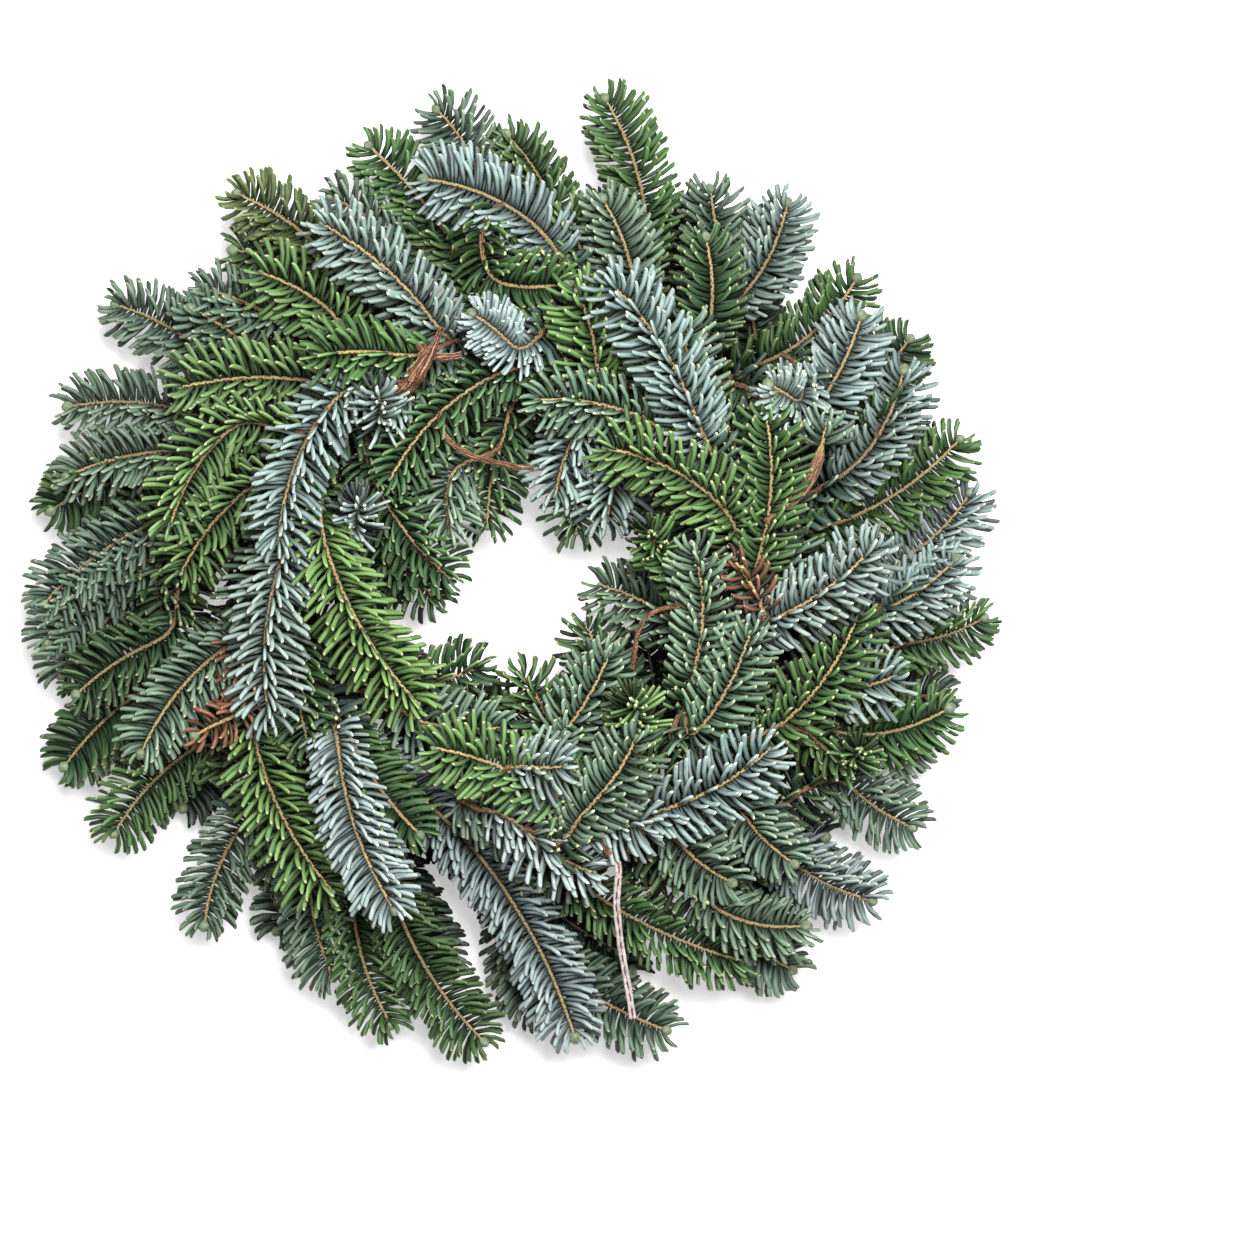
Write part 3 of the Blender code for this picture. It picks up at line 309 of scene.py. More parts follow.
def relax(shoots, rounds):
    """Push the shoots apart, mostly up and down, until each has its own way through the others."""
    owner = np.concatenate([[i] * len(s.points) for i, s in enumerate(shoots)])
    spray = np.array([spray_names.index(shoots[i].spray) for i in owner])
    start = np.cumsum([0] + [len(s.points) for s in shoots])
    place = np.vstack([s.points for s in shoots])
    home = place.copy()
    free = np.concatenate([lengths(s.points) for s in shoots])
    leafy = np.concatenate([lengths(s.points) > s.leaf_from - 0.002 for s in shoots])
    leafy &= ~np.array([shoots[i].bare for i in owner])
    fixed = np.zeros(len(owner), bool)
    for i, s in enumerate(shoots):
        if s.foot:
            fixed[start[i]:start[i + 1]] = lengths(s.points) > s.leaf_from - 0.003
    fixed[start[shoots.index(tied) + 1] - 2:start[shoots.index(tied) + 1]] = True
    a, b = np.triu_indices(len(place), 1)
    near = np.linalg.norm(home[a] - home[b], axis=1) < 0.030
    near &= owner[a] != owner[b]
    a, b = a[near], b[near]
    want = np.where(leafy[a] & leafy[b], LEAFY_APART,
                    np.where(leafy[a] | leafy[b], MIXED_APART, WOOD_APART))
    own = spray[a] == spray[b]
    want = np.where(own, np.minimum(want, 0.5 * np.minimum(free[a], free[b])), want)
    order = np.sign(home[a][:, 2] - home[b][:, 2] + 1e-6)
    for _ in range(rounds):
        gap = place[a] - place[b]
        far = np.linalg.norm(gap, axis=1) + 1e-9
        short = np.maximum(want - far, 0)
        live = short > 0
        push = np.zeros_like(place)
        g = gap[live] * np.array([0.45, 0.45, 1.0])
        g[:, 2] += 0.0012 * order[live]
        g /= np.linalg.norm(g, axis=1)[:, None] + 1e-9
        g *= (0.42 * short[live])[:, None]
        np.add.at(push, a[live], g)
        np.add.at(push, b[live], -g)
        size = np.linalg.norm(push, axis=1)[:, None]
        push *= np.minimum(1.0, LONGEST_MOVE / (size + 1e-9))
        push[fixed] = 0
        place += push
        flat = place[:, :2] - RING_CENTRE[:2]
        round_at = flat / np.linalg.norm(flat, axis=1)[:, None]
        nearest = np.column_stack([RING_CENTRE[:2] + round_at * RING_RADIUS, np.full(len(place), RING_Z)])
        off = place - nearest
        away = np.linalg.norm(off, axis=1)
        keep = RING_TUBE + np.where(leafy, 0.0032, STEM_RADIUS + GAP + 0.0004)
        inside = (away < keep) & ~fixed
        place[inside] = nearest[inside] + off[inside] / away[inside][:, None] * keep[inside][:, None]
        for point in twine_way[2:]:
            off = place - point
            away = np.linalg.norm(off, axis=1)
            inside = (away < CORD_APART) & ~fixed
            place[inside] += off[inside] / away[inside][:, None] * (CORD_APART - away[inside])[:, None]
        shift = place - home
        shift[:, :2] *= 0.96
        shift[:, 2] *= 0.992
        for i, s in enumerate(shoots):
            part = shift[start[i]:start[i + 1]]
            part[1:-1] += 0.5 * ((part[:-2] + part[2:]) / 2 - part[1:-1])
            part[-1] += 0.4 * (part[-2] - part[-1])
            if s.mother is None:
                part[0] = 0
            else:
                j = shoots.index(s.mother)
                part[0] = shift[start[j] + s.joint]
        shift[fixed] = 0
        place = home + shift
        low = np.where(leafy, 0.0055, 0.0032)
        place[:, 2] = np.where(fixed, place[:, 2], np.clip(place[:, 2], low, 0.0610))
    for i, s in enumerate(shoots):
        s.points = place[start[i]:start[i + 1]]
    for s in shoots:
        if s.mother is not None:
            s.points[0] = s.mother.points[s.joint]


relax(shoots, 160)

# The CAD wreath was moved sideways to its middle at the end, and the shoots move with its ring.
ring_low, ring_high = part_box("ring")
MOVE = (np.array(ring_low) + np.array(ring_high)) / 2 - RING_CENTRE
MOVE[2] = 0.0


# The pattern of one needle: a waxy green blade as long as a fingernail, blunt, with a keel below,
# hooked forward near its end. Its root is at the origin and it points up.
NEEDLE_SIZE = 0.0122
NEEDLE_SIDES = 4
NEEDLE_WIDE = 0.00080     # from its middle to its rim
NEEDLE_THICK = 0.00062    # from its middle to its keel
NEEDLE_HOOK = 0.17        # how far forward its end bends, as a share of its length
NEEDLE_RINGS = [          # how far along, share of the thickness, share of the width
    (0.0, 0.45, 0.40), (0.22, 0.85, 0.78), (0.60, 1.0, 0.95), (0.93, 1.0, 1.0), (1.0, 0.60, 0.62),
]


def stacked(base, sides, rings):
    """The faces of a closed shell of stacked rings of points, with a flat face at either end."""
    faces = []
    for i in range(rings - 1):
        for k in range(sides):
            a, b = base + i * sides + k, base + i * sides + (k + 1) % sides
            faces.append((a, b, b + sides, a + sides))
    faces.append(tuple(base + k for k in reversed(range(sides))))
    faces.append(tuple(base + (rings - 1) * sides + k for k in range(sides)))
    return faces


def add_mesh(name, points, edges, faces, facts):
    """A new object in the scene from points and faces, with one value for each point by name."""
    mesh = bpy.data.meshes.new(name)
    mesh.from_pydata([tuple(float(c) for c in p) for p in points], edges, faces)
    for key, values in facts.items():
        values = np.array(values, np.float32)
        kind, field = ("FLOAT", "value") if values.ndim == 1 else ("FLOAT_VECTOR", "vector")
        mesh.attributes.new(key, kind, "POINT").data.foreach_set(field, values.ravel())
    if faces:
        mesh.shade_smooth()
    made = bpy.data.objects.new(name, mesh)
    bpy.context.scene.collection.objects.link(made)
    return made


points, along, edge = [], [], []
for z, thick, wide in NEEDLE_RINGS:
    for k in range(NEEDLE_SIDES):
        turn = 2 * math.pi * k / NEEDLE_SIDES
        points.append((NEEDLE_HOOK * z ** 2.6 * NEEDLE_SIZE + math.cos(turn) * wide * NEEDLE_WIDE,
                       math.sin(turn) * thick * NEEDLE_THICK, z * NEEDLE_SIZE * (1 - 0.12 * z)))
        along.append(z)
        edge.append(abs(math.cos(turn)))
needle = add_mesh("needle_pattern", points, [], stacked(0, NEEDLE_SIDES, len(NEEDLE_RINGS)),
                  {"reach": along, "rim": edge})


# The pattern of one bud: the small round green knob of next year's growth on a shoot's tip, drawn
# to a blunt crown. It sits on the origin and points up.
BUD_RADIUS = 0.0021
BUD_LENGTH = 0.0036
BUD_SIDES = 7
BUD_RINGS = [(0.0, 0.35), (0.25, 0.85), (0.55, 1.0), (0.85, 0.72), (1.05, 0.25)]
points = []
for z, r in BUD_RINGS:
    for k in range(BUD_SIDES):
        turn = 2 * math.pi * k / BUD_SIDES
        points.append((r * math.cos(turn) * BUD_RADIUS, r * math.sin(turn) * BUD_RADIUS,
                       z * BUD_LENGTH - 0.0002))
bud = add_mesh("bud_pattern", points, [], stacked(0, BUD_SIDES, len(BUD_RINGS)), {})


# Needles on a leafy shoot grow out of its bark one by one. The tree sets them round the shoot by
# the golden angle, combed to the sides and upwards, leaning forward, and shorter at both ends.


def node(tree, kind, links=None, **settings):
    """A node with its settings, and its inputs linked or set by name or number. A colour is opaque."""
    made = tree.nodes.new(kind)
    for key, value in settings.items():
        setattr(made, key, value)
    for key, value in (links or {}).items():
        socket = made.inputs[key]
        if isinstance(value, bpy.types.NodeSocket):
            tree.links.new(value, socket)
            continue
        if isinstance(value, tuple) and len(socket.default_value) == 4:
            value = (*value, 1.0)
        socket.default_value = value
    return made


def maths(tree, how, a, b=0.0, c=0.0):
    """One number from a Math node."""
    return node(tree, "ShaderNodeMath", {0: a, 1: b, 2: c}, operation=how).outputs[0]


def times(tree, a, b):
    """Two numbers multiplied."""
    return maths(tree, "MULTIPLY", a, b)


def vectors(tree, how, a, b=(0.0, 0.0, 0.0), scale=1.0):
    """One vector from a Vector Math node."""
    return node(tree, "ShaderNodeVectorMath", {0: a, 1: b, 3: scale}, operation=how).outputs[0]


def attribute(tree, name, kind="FLOAT"):
    """A named attribute read in a geometry tree."""
    return node(tree, "GeometryNodeInputNamedAttribute", {"Name": name}, data_type=kind).outputs[0]


def field_range(tree, value, a, b, c, d):
    """A value mapped from a..b to c..d, held at the ends."""
    return node(tree, "ShaderNodeMapRange", {0: value, 1: a, 2: b, 3: c, 4: d}).outputs[0]


def above_floor(tree, geometry):
    """Geometry with whatever would sink into the floor pressed flat on it."""
    parts = node(tree, "ShaderNodeSeparateXYZ", {0: node(tree, "GeometryNodeInputPosition").outputs[0]})
    held = maths(tree, "MAXIMUM", parts.outputs[2], 0.00005)
    place = node(tree, "ShaderNodeCombineXYZ", {0: parts.outputs[0], 1: parts.outputs[1], 2: held})
    return node(tree, "GeometryNodeSetPosition",
                {"Geometry": geometry, "Position": place.outputs[0]}).outputs[0]


def stored(tree, geometry, name, value, kind="FLOAT", domain="INSTANCE"):
    """Geometry with a value kept on it by name."""
    return node(tree, "GeometryNodeStoreNamedAttribute",
                {"Geometry": geometry, "Name": name, "Value": value},
                data_type=kind, domain=domain).outputs[0]


def turned(tree, ahead, sideways):
    """The turn that points a pattern's Z one way and its X towards another."""
    return node(tree, "FunctionNodeAxesToRotation", {"Primary Axis": ahead, "Secondary Axis": sideways},
                primary_axis="Z", secondary_axis="X").outputs[0]


def dressed(tree, geometry, look):
    """Geometry with a material."""
    return node(tree, "GeometryNodeSetMaterial", {"Geometry": geometry, "Material": look}).outputs[0]


def new_tree(name, inputs, outputs, kind="GeometryNodeTree"):
    """An empty node tree with its sockets by name and kind, and its two end nodes."""
    tree = bpy.data.node_groups.new(name, kind)
    for way, sockets in (("INPUT", inputs), ("OUTPUT", outputs)):
        for label, held in sockets.items():
            tree.interface.new_socket(label, in_out=way, socket_type="NodeSocket" + held)
    return tree, tree.nodes.new("NodeGroupInput"), tree.nodes.new("NodeGroupOutput")


rows, given, result = new_tree(
    "needle_rows", {"Geometry": "Geometry", "Needle": "Object", "Material": "Material", "Seed": "Int"},
    {"Geometry": "Geometry"})
line = node(rows, "GeometryNodeMeshToCurve", {"Mesh": given.outputs["Geometry"]}).outputs[0]
line = node(rows, "GeometryNodeResampleCurve", {"Curve": line, "Length": attribute(rows, "pitch")},
            mode="LENGTH").outputs[0]
number = node(rows, "GeometryNodeInputIndex").outputs[0]


def chance(low, high, offset):
    """A random number for each needle."""
    seed = maths(rows, "ADD", given.outputs["Seed"], offset)
    return node(rows, "FunctionNodeRandomValue", {2: low, 3: high, "ID": number, "Seed": seed},
                data_type="FLOAT").outputs[1]


way = vectors(rows, "NORMALIZE", attribute(rows, "way", "FLOAT_VECTOR"))
up = vectors(rows, "NORMALIZE", attribute(rows, "up", "FLOAT_VECTOR"))
side = vectors(rows, "CROSS_PRODUCT", way, up)
share = attribute(rows, "along")
tipness = field_range(rows, attribute(rows, "left"), 0.0, 0.0055, 1.0, 0.0)
turn = maths(rows, "ADD", times(rows, number, 0.381966), chance(-0.05, 0.05, 1))
turn = maths(rows, "SUBTRACT", times(rows, maths(rows, "FRACT", turn), 2.0), 1.0)
size = maths(rows, "POWER", maths(rows, "ABSOLUTE", turn), 0.85)
parted = attribute(rows, "part")
angle = maths(rows, "MULTIPLY_ADD", size, maths(rows, "SUBTRACT", attribute(rows, "spread"), parted), parted)
angle = times(rows, angle, maths(rows, "SIGN", turn))
out = vectors(rows, "ADD", vectors(rows, "SCALE", up, scale=maths(rows, "COSINE", angle)),
              vectors(rows, "SCALE", side, scale=maths(rows, "SINE", angle)))
height = maths(rows, "COSINE", angle)
lean = field_range(rows, height, 0.0, 1.0, 1.46, 1.10)
lean = maths(rows, "ADD", lean, field_range(rows, share, 0.0, 0.15, 0.12, 0.0))
lean = maths(rows, "ADD", lean, chance(-0.12, 0.11, 2))
lean = times(rows, lean, maths(rows, "SUBTRACT", 1.0, times(rows, tipness, 0.44)))
ray = vectors(rows, "ADD", vectors(rows, "SCALE", out, scale=maths(rows, "SINE", lean)),
              vectors(rows, "SCALE", way, scale=maths(rows, "COSINE", lean)))
curl = vectors(rows, "ADD", way, vectors(rows, "SCALE", up, scale=chance(-0.5, 0.8, 7)))
length = attribute(rows, "size")
for change in (chance(0.86, 1.08, 3), field_range(rows, share, 0.0, 0.30, 0.74, 1.0),
               field_range(rows, tipness, 0.0, 1.0, 1.0, 0.64),
               field_range(rows, height, 0.1, 1.0, 1.0, 0.60)):
    length = times(rows, length, change)
girth = attribute(rows, "girth")
scale = node(rows, "ShaderNodeCombineXYZ", {0: times(rows, girth, chance(0.88, 1.15, 4)),
                                            1: times(rows, girth, chance(0.88, 1.12, 5)),
                                            2: length}).outputs[0]
pattern = node(rows, "GeometryNodeObjectInfo", {"Object": given.outputs["Needle"]}).outputs["Geometry"]
spikes = node(rows, "GeometryNodeInstanceOnPoints",
              {"Points": line, "Instance": pattern, "Rotation": turned(rows, ray, curl),
               "Scale": scale}).outputs[0]
spikes = stored(rows, spikes, "tint", chance(0, 1, 6))
# Each needle's height round the shoot is kept for the painted shade on needles under the others.
spikes = stored(rows, spikes, "rank", height)
spikes = node(rows, "GeometryNodeRealizeInstances", {"Geometry": spikes}).outputs[0]
rows.links.new(dressed(rows, above_floor(rows, spikes), given.outputs["Material"]), result.inputs[0])


# The wood of a spray is round twigs that taper, smooth and ochre where they are young, thick, lumpy
# and red-brown where they are old. The tree draws a tube along each path, its thickness kept on the
# path, and sets a bud on each leafy tip.
WOOD_STEP = 0.0018
wood, given, result = new_tree(
    "twigs", {"Geometry": "Geometry", "Bud": "Object", "Bark": "Material", "Bud look": "Material"},
    {"Geometry": "Geometry"})
line = node(wood, "GeometryNodeMeshToCurve", {"Mesh": given.outputs["Geometry"]}).outputs[0]
line = node(wood, "GeometryNodeResampleCurve", {"Curve": line, "Length": WOOD_STEP},
            mode="LENGTH").outputs[0]
place = node(wood, "GeometryNodeInputPosition").outputs[0]
profile = node(wood, "GeometryNodeCurvePrimitiveCircle", {"Resolution": 8, "Radius": 1.0}).outputs[0]
profile = stored(wood, profile, "around", place, "FLOAT_VECTOR", "POINT")
tube = node(wood, "GeometryNodeCurveToMesh", {"Curve": line, "Profile Curve": profile, "Fill Caps": True,
                                              "Scale": attribute(wood, "thick")}).outputs[0]
lump = node(wood, "ShaderNodeTexNoise", {"Vector": place, "Scale": 620.0, "Detail": 2.0}).outputs[0]
gnarl = field_range(wood, attribute(wood, "old"), 0.8, 1.0, 0.28, 1.5)
lump = times(wood, maths(wood, "SUBTRACT", lump, 0.5), times(wood, attribute(wood, "thick"), gnarl))
lump = vectors(wood, "SCALE", node(wood, "GeometryNodeInputNormal").outputs[0], scale=lump)
tube = node(wood, "GeometryNodeSetPosition", {"Geometry": tube, "Offset": lump}).outputs[0]
tube = above_floor(wood, tube)
tube = node(wood, "GeometryNodeSetShadeSmooth", {"Geometry": tube}).outputs[0]
ends = node(wood, "FunctionNodeCompare", {0: attribute(wood, "tip"), 1: 0.5},
            data_type="FLOAT", operation="GREATER_THAN").outputs[0]
knob = node(wood, "GeometryNodeObjectInfo", {"Object": given.outputs["Bud"]}).outputs["Geometry"]
spin = turned(wood, attribute(wood, "way", "FLOAT_VECTOR"), attribute(wood, "up", "FLOAT_VECTOR"))
knobs = node(wood, "GeometryNodeInstanceOnPoints", {"Points": given.outputs["Geometry"], "Selection": ends,
                                                    "Instance": knob, "Rotation": spin,
                                                    "Scale": attribute(wood, "knob")}).outputs[0]
knobs = node(wood, "GeometryNodeRealizeInstances", {"Geometry": knobs}).outputs[0]
both = node(wood, "GeometryNodeJoinGeometry")
wood.links.new(dressed(wood, tube, given.outputs["Bark"]), both.inputs[0])
wood.links.new(dressed(wood, knobs, given.outputs["Bud look"]), both.inputs[0])
wood.links.new(both.outputs[0], result.inputs[0])


# The finishes of fir: waxy needles, bark and buds. Each is a tree of nodes that reads the values kept
# on the points. They share the small functions here and the two effects after them.
def shader(name, roughness):
    """A new material and its tree, with the Principled node."""
    made = bpy.data.materials.new(name)
    made.use_nodes = True
    principled = made.node_tree.nodes["Principled BSDF"]
    principled.inputs["Roughness"].default_value = roughness
    return made, made.node_tree, principled


def read(tree, name, socket="Fac"):
    """An attribute read in a material."""
    return node(tree, "ShaderNodeAttribute", attribute_name=name).outputs[socket]


def mix(tree, factor, a, b, how="MIX"):
    """Two colours mixed."""
    return node(tree, "ShaderNodeMix", {0: factor, 6: a, 7: b}, data_type="RGBA", blend_type=how).outputs[2]


def grey(tree, value):
    """A number as a grey colour."""
    return node(tree, "ShaderNodeCombineColor", {0: value, 1: value, 2: value}).outputs[0]


def use(tree, effect, links):
    """A shared effect placed in a material."""
    return node(tree, "ShaderNodeGroup", links, node_tree=effect).outputs[0]


def here(tree):
    """The place on the piece, in its own metres."""
    return node(tree, "ShaderNodeTexCoord").outputs["Object"]


# The first effect is painted shade inside the wreath. A colour gets deeper low down and over the ring,
# where little light comes between the shoots.
THICKEST = 0.075                    # from the wreath's middle to where it is thickest
DARK_LOW, DARK_HIGH = 0.019, 0.055  # the heights between which it gets lighter
painted_shade, given, result = new_tree("deep_in_the_wreath", {"Colour": "Color"}, {"Colour": "Color"},
                               "ShaderNodeTree")
height = node(painted_shade, "ShaderNodeSeparateXYZ", {0: here(painted_shade)}).outputs[2]
flat = vectors(painted_shade, "MULTIPLY", here(painted_shade), (1.0, 1.0, 0.0))
reach_out = node(painted_shade, "ShaderNodeVectorMath", {0: flat}, operation="LENGTH").outputs["Value"]
exposed = maths(painted_shade, "ABSOLUTE", maths(painted_shade, "SUBTRACT", reach_out, THICKEST))
shade = field_range(painted_shade, maths(painted_shade, "MULTIPLY_ADD", exposed, 0.36, height),
                    DARK_LOW, DARK_HIGH, 0.03, 1.0)
painted_shade.links.new(mix(painted_shade, 1.0, given.outputs[0], grey(painted_shade, shade), "MULTIPLY"), result.inputs[0])

# The second is a patchy mask, for bloom and grain that come and go.
patch, given, result = new_tree("patches", {"Scale": "Float", "Low": "Float", "High": "Float"},
                                {"Mask": "Float"}, "ShaderNodeTree")
spots = node(patch, "ShaderNodeTexNoise", {"Vector": here(patch), "Scale": given.outputs["Scale"],
                                           "Detail": 2.0}).outputs[0]
patch.links.new(field_range(patch, spots, given.outputs["Low"], given.outputs["High"], 0.0, 1.0),
                result.inputs[0])


def patches(tree, size, low, high):
    """The patchy mask placed in a material."""
    return use(tree, patch, {"Scale": size, "Low": low, "High": high})


# The needles' finish: the shoot's own colour, each needle a little different, with painted shade at its
# root, pale waxy bloom in patches, painted highlights on its rims, and its blunt tip lighter. Needles
# low round a shoot and low in the wreath get painted shade. Withered shoots are red-brown.
SHADED = (0.010, 0.030, 0.014)      # what the darker needles of a shoot lean to
BLOOM = (0.47, 0.555, 0.545)
GREEN_RIM_HIGHLIGHT, WAXY_RIM_HIGHLIGHT, DRY_RIM_HIGHLIGHT = (0.50, 0.66, 0.30), (0.74, 0.82, 0.82), (0.46, 0.23, 0.15)
GREEN_TIP, WAXY_TIP = (0.72, 0.68, 0.36), (0.80, 0.84, 0.76)
NEEDLE_ROOT_SHADE = (0.003, 0.012, 0.005)
needle_look, tree, principled = shader("fir_needles", 0.40)
tone = read(tree, "tone", "Color")
tint = read(tree, "tint")
reach = read(tree, "reach")
bloom = read(tree, "bloom")
rim = read(tree, "rim")
colour = mix(tree, field_range(tree, tint, 0.0, 1.0, 0.0, 0.70), tone, mix(tree, 0.55, tone, SHADED))
frosted = field_range(tree, patches(tree, 300.0, 0.35, 0.65), 0.0, 1.0, 0.40, 1.0)
colour = mix(tree, times(tree, bloom, frosted), colour, BLOOM)
parts = node(tree, "ShaderNodeSeparateColor", {0: tone}).outputs
withered = field_range(tree, maths(tree, "SUBTRACT", parts[0], parts[1]), 0.02, 0.08, 0.0, 1.0)
# Painted highlight: the needles' rims are lighter, green, waxy or red-brown by the shoot's tone.
pale = mix(tree, withered, mix(tree, bloom, GREEN_RIM_HIGHLIGHT, WAXY_RIM_HIGHLIGHT), DRY_RIM_HIGHLIGHT)
colour = mix(tree, field_range(tree, rim, 0.30, 1.0, 0.0, 0.80), colour, mix(tree, 0.50, colour, pale))
# Painted shade: each needle darkens to near black towards its root, among the other needles.
colour = mix(tree, field_range(tree, reach, 0.0, 0.72, 0.96, 0.0), colour, NEEDLE_ROOT_SHADE)
tip_glow = times(tree, field_range(tree, reach, 0.95, 1.0, 0.0, 0.85),
                 field_range(tree, tint, 0.1, 0.9, 0.3, 1.0))
colour = mix(tree, tip_glow, colour, mix(tree, bloom, GREEN_TIP, WAXY_TIP))
# Painted shade: needles low round the shoot, under the others, are darkened by their height round it.
lit = field_range(tree, read(tree, "rank"), -0.50, 0.10, 0.18, 1.0)
colour = mix(tree, 1.0, colour, grey(tree, lit), "MULTIPLY")
# Painted shade darkens the needles low down and over the ring, inside the wreath.
tree.links.new(use(tree, painted_shade, {"Colour": colour}), principled.inputs["Base Color"])
principled.inputs["Specular IOR Level"].default_value = 0.22


# The bark's finish: ochre and finely grained on leafy shoots, red-brown, streaked along the stem and
# cracked on the old wood, its pale streaks painted highlights, and pale where the stem was cut. Low in
# the wreath it gets painted shade.
YOUNG_GRAIN = (0.31, 0.21, 0.085), (0.62, 0.455, 0.22)
OLD_GRAIN = (0.10, 0.038, 0.018), (0.31, 0.135, 0.065)
OLD_PATCH, OLD_STREAK_HIGHLIGHT, CRACK = (0.38, 0.18, 0.095), (0.66, 0.40, 0.27), (0.025, 0.010, 0.006)
CUT_WOOD = (0.40, 0.25, 0.17)
bark_look, tree, principled = shader("fir_bark", 0.62)
old = read(tree, "old")
cut = read(tree, "cut")
fine_grain = patches(tree, 1500.0, 0.30, 0.70)
broad_grain = patches(tree, 420.0, 0.40, 0.60)
around = vectors(tree, "SCALE", read(tree, "around", "Vector"), scale=2.4)
run = times(tree, read(tree, "run"), 130.0)
run = node(tree, "ShaderNodeCombineXYZ", {2: run})
streak = node(tree, "ShaderNodeTexNoise", {"Vector": vectors(tree, "ADD", around, run.outputs[0]),
                                           "Scale": 1.0, "Detail": 3.0}).outputs[0]
crack = maths(tree, "ABSOLUTE", maths(tree, "SUBTRACT", streak, 0.5))
crack = times(tree, field_range(tree, crack, 0.010, 0.045, 1.0, 0.0), old)
young = mix(tree, fine_grain, *YOUNG_GRAIN)
aged = mix(tree, fine_grain, *OLD_GRAIN)
aged = mix(tree, times(tree, broad_grain, 0.45), aged, OLD_PATCH)
# Painted highlight: pale streaks along the old wood.
aged = mix(tree, field_range(tree, streak, 0.58, 0.68, 0.0, 0.75), aged, OLD_STREAK_HIGHLIGHT)
aged = mix(tree, times(tree, crack, 0.85), aged, CRACK)
colour = mix(tree, old, young, aged)
colour = mix(tree, field_range(tree, cut, 0.93, 0.98, 0.0, 0.85), colour, CUT_WOOD)
# Painted shade darkens the bark low down and over the ring, inside the wreath.
tree.links.new(use(tree, painted_shade, {"Colour": colour}), principled.inputs["Base Color"])
relief = maths(tree, "SUBTRACT", fine_grain, times(tree, crack, 2.0))
bump = node(tree, "ShaderNodeBump", {"Height": relief, "Strength": 0.9, "Distance": 0.0005})
tree.links.new(bump.outputs[0], principled.inputs["Normal"])


# The buds' finish: small overlapping scales, dull grey-green under a film of dried resin, a little
# paler where it is thick.
bud_look, tree, principled = shader("fir_buds", 0.75)
colour = mix(tree, patches(tree, 800.0, 0.3, 0.7), (0.08, 0.110, 0.060), (0.21, 0.26, 0.16))
tree.links.new(colour, principled.inputs["Base Color"])


# The sprays are cut from branches, so wood, needles and buds grew as one piece. Each is made as two
# pieces here, its needles and its twigs with their buds, grown along the shoots laid out above.
LOOKS = {
    # A shoot's tone: its base colour, bloom, needle size, pitch along the shoot, and from where to
    # where round it needles stand, in degrees from its upper side.
    "b": ((0.135, 0.232, 0.228), 0.52, 1.06, 0.00040, 24, 122),
    "w": ((0.200, 0.300, 0.305), 0.68, 1.06, 0.00040, 22, 122),
    "g": ((0.046, 0.142, 0.022), 0.05, 1.0, 0.00042, 34, 122),
    "l": ((0.135, 0.275, 0.068), 0.04, 1.08, 0.00042, 32, 122),
    "t": ((0.042, 0.132, 0.050), 0.25, 1.0, 0.00042, 32, 122),
    "d": ((0.018, 0.086, 0.016), 0.05, 0.98, 0.00042, 30, 122),
    "s": ((0.080, 0.180, 0.084), 0.28, 1.0, 0.00041, 30, 122),
    "o": ((0.105, 0.155, 0.030), 0.05, 1.0, 0.00042, 34, 122),
    "r": ((0.230, 0.095, 0.055), 0.0, 0.70, 0.00080, 10, 125),
}


def guide(name, chains, facts):
    """A mesh of plain edge chains with values on its points, for a tree to build on."""
    edges = []
    base = 0
    for chain in chains:
        edges += [(base + i, base + i + 1) for i in range(len(chain) - 1)]
        base += len(chain)
    return add_mesh(name, np.vstack(chains), edges, [], {key: np.concatenate(facts[key]) for key in facts})


def grow(made, tree, settings):
    """The guide turned into plain mesh by a tree."""
    grown = made.modifiers.new("grow", "NODES")
    grown.node_group = tree
    for item in tree.interface.items_tree:
        if item.in_out == "INPUT" and item.name in settings:
            grown[item.identifier] = settings[item.name]
    made.update_tag()
    graph = bpy.context.evaluated_depsgraph_get()
    mesh = bpy.data.meshes.new_from_object(made.evaluated_get(graph), preserve_all_data_layers=True,
                                           depsgraph=graph)
    made.modifiers.clear()
    made.data = mesh
    mesh.name = made.name
    return made


def ups(points):
    """Way and up along a path, carried without twist."""
    way = np.gradient(points, axis=0)
    way /= np.linalg.norm(way, axis=1)[:, None]
    up = np.array([0.0, 0.0, 1.0]) - way * way[:, 2:3]
    steep = np.linalg.norm(up, axis=1) < 0.5
    up[steep] += np.array([0.25, 0.0, 0.0])
    up -= way * (up * way).sum(axis=1)[:, None]
    return way, up / np.linalg.norm(up, axis=1)[:, None]


def leafy_row(chain, facts, path, look, share, left, colour, roll):
    """Book one stretch of a shoot for the needle rows."""
    way, up = ups(path)
    up = up * math.cos(roll) + np.cross(way, up) * math.sin(roll)
    frost, long, girth, pitch, part, spread = look
    chain.append(path)
    count = len(path)
    for key, value in (("way", way), ("up", up), ("along", share), ("left", left),
                       ("tone", np.tile(colour, (count, 1)))):
        facts[key].append(value)
    for key, value in (("pitch", pitch), ("part", math.radians(part)), ("spread", math.radians(spread)),
                       ("size", long), ("girth", girth), ("bloom", frost)):
        facts[key].append(np.full(count, value))


def wood_path(chain, facts, path, thick, old, cut, tip, knob):
    """Book one path for the twigs, each value one number or one for each point."""
    way, up = ups(path)
    chain.append(path)
    facts["way"].append(way)
    facts["up"].append(up)
    for key, value in (("thick", thick), ("old", old), ("cut", cut), ("tip", tip),
                       ("run", lengths(path)), ("knob", knob)):
        facts[key].append(value + np.zeros(len(path)))


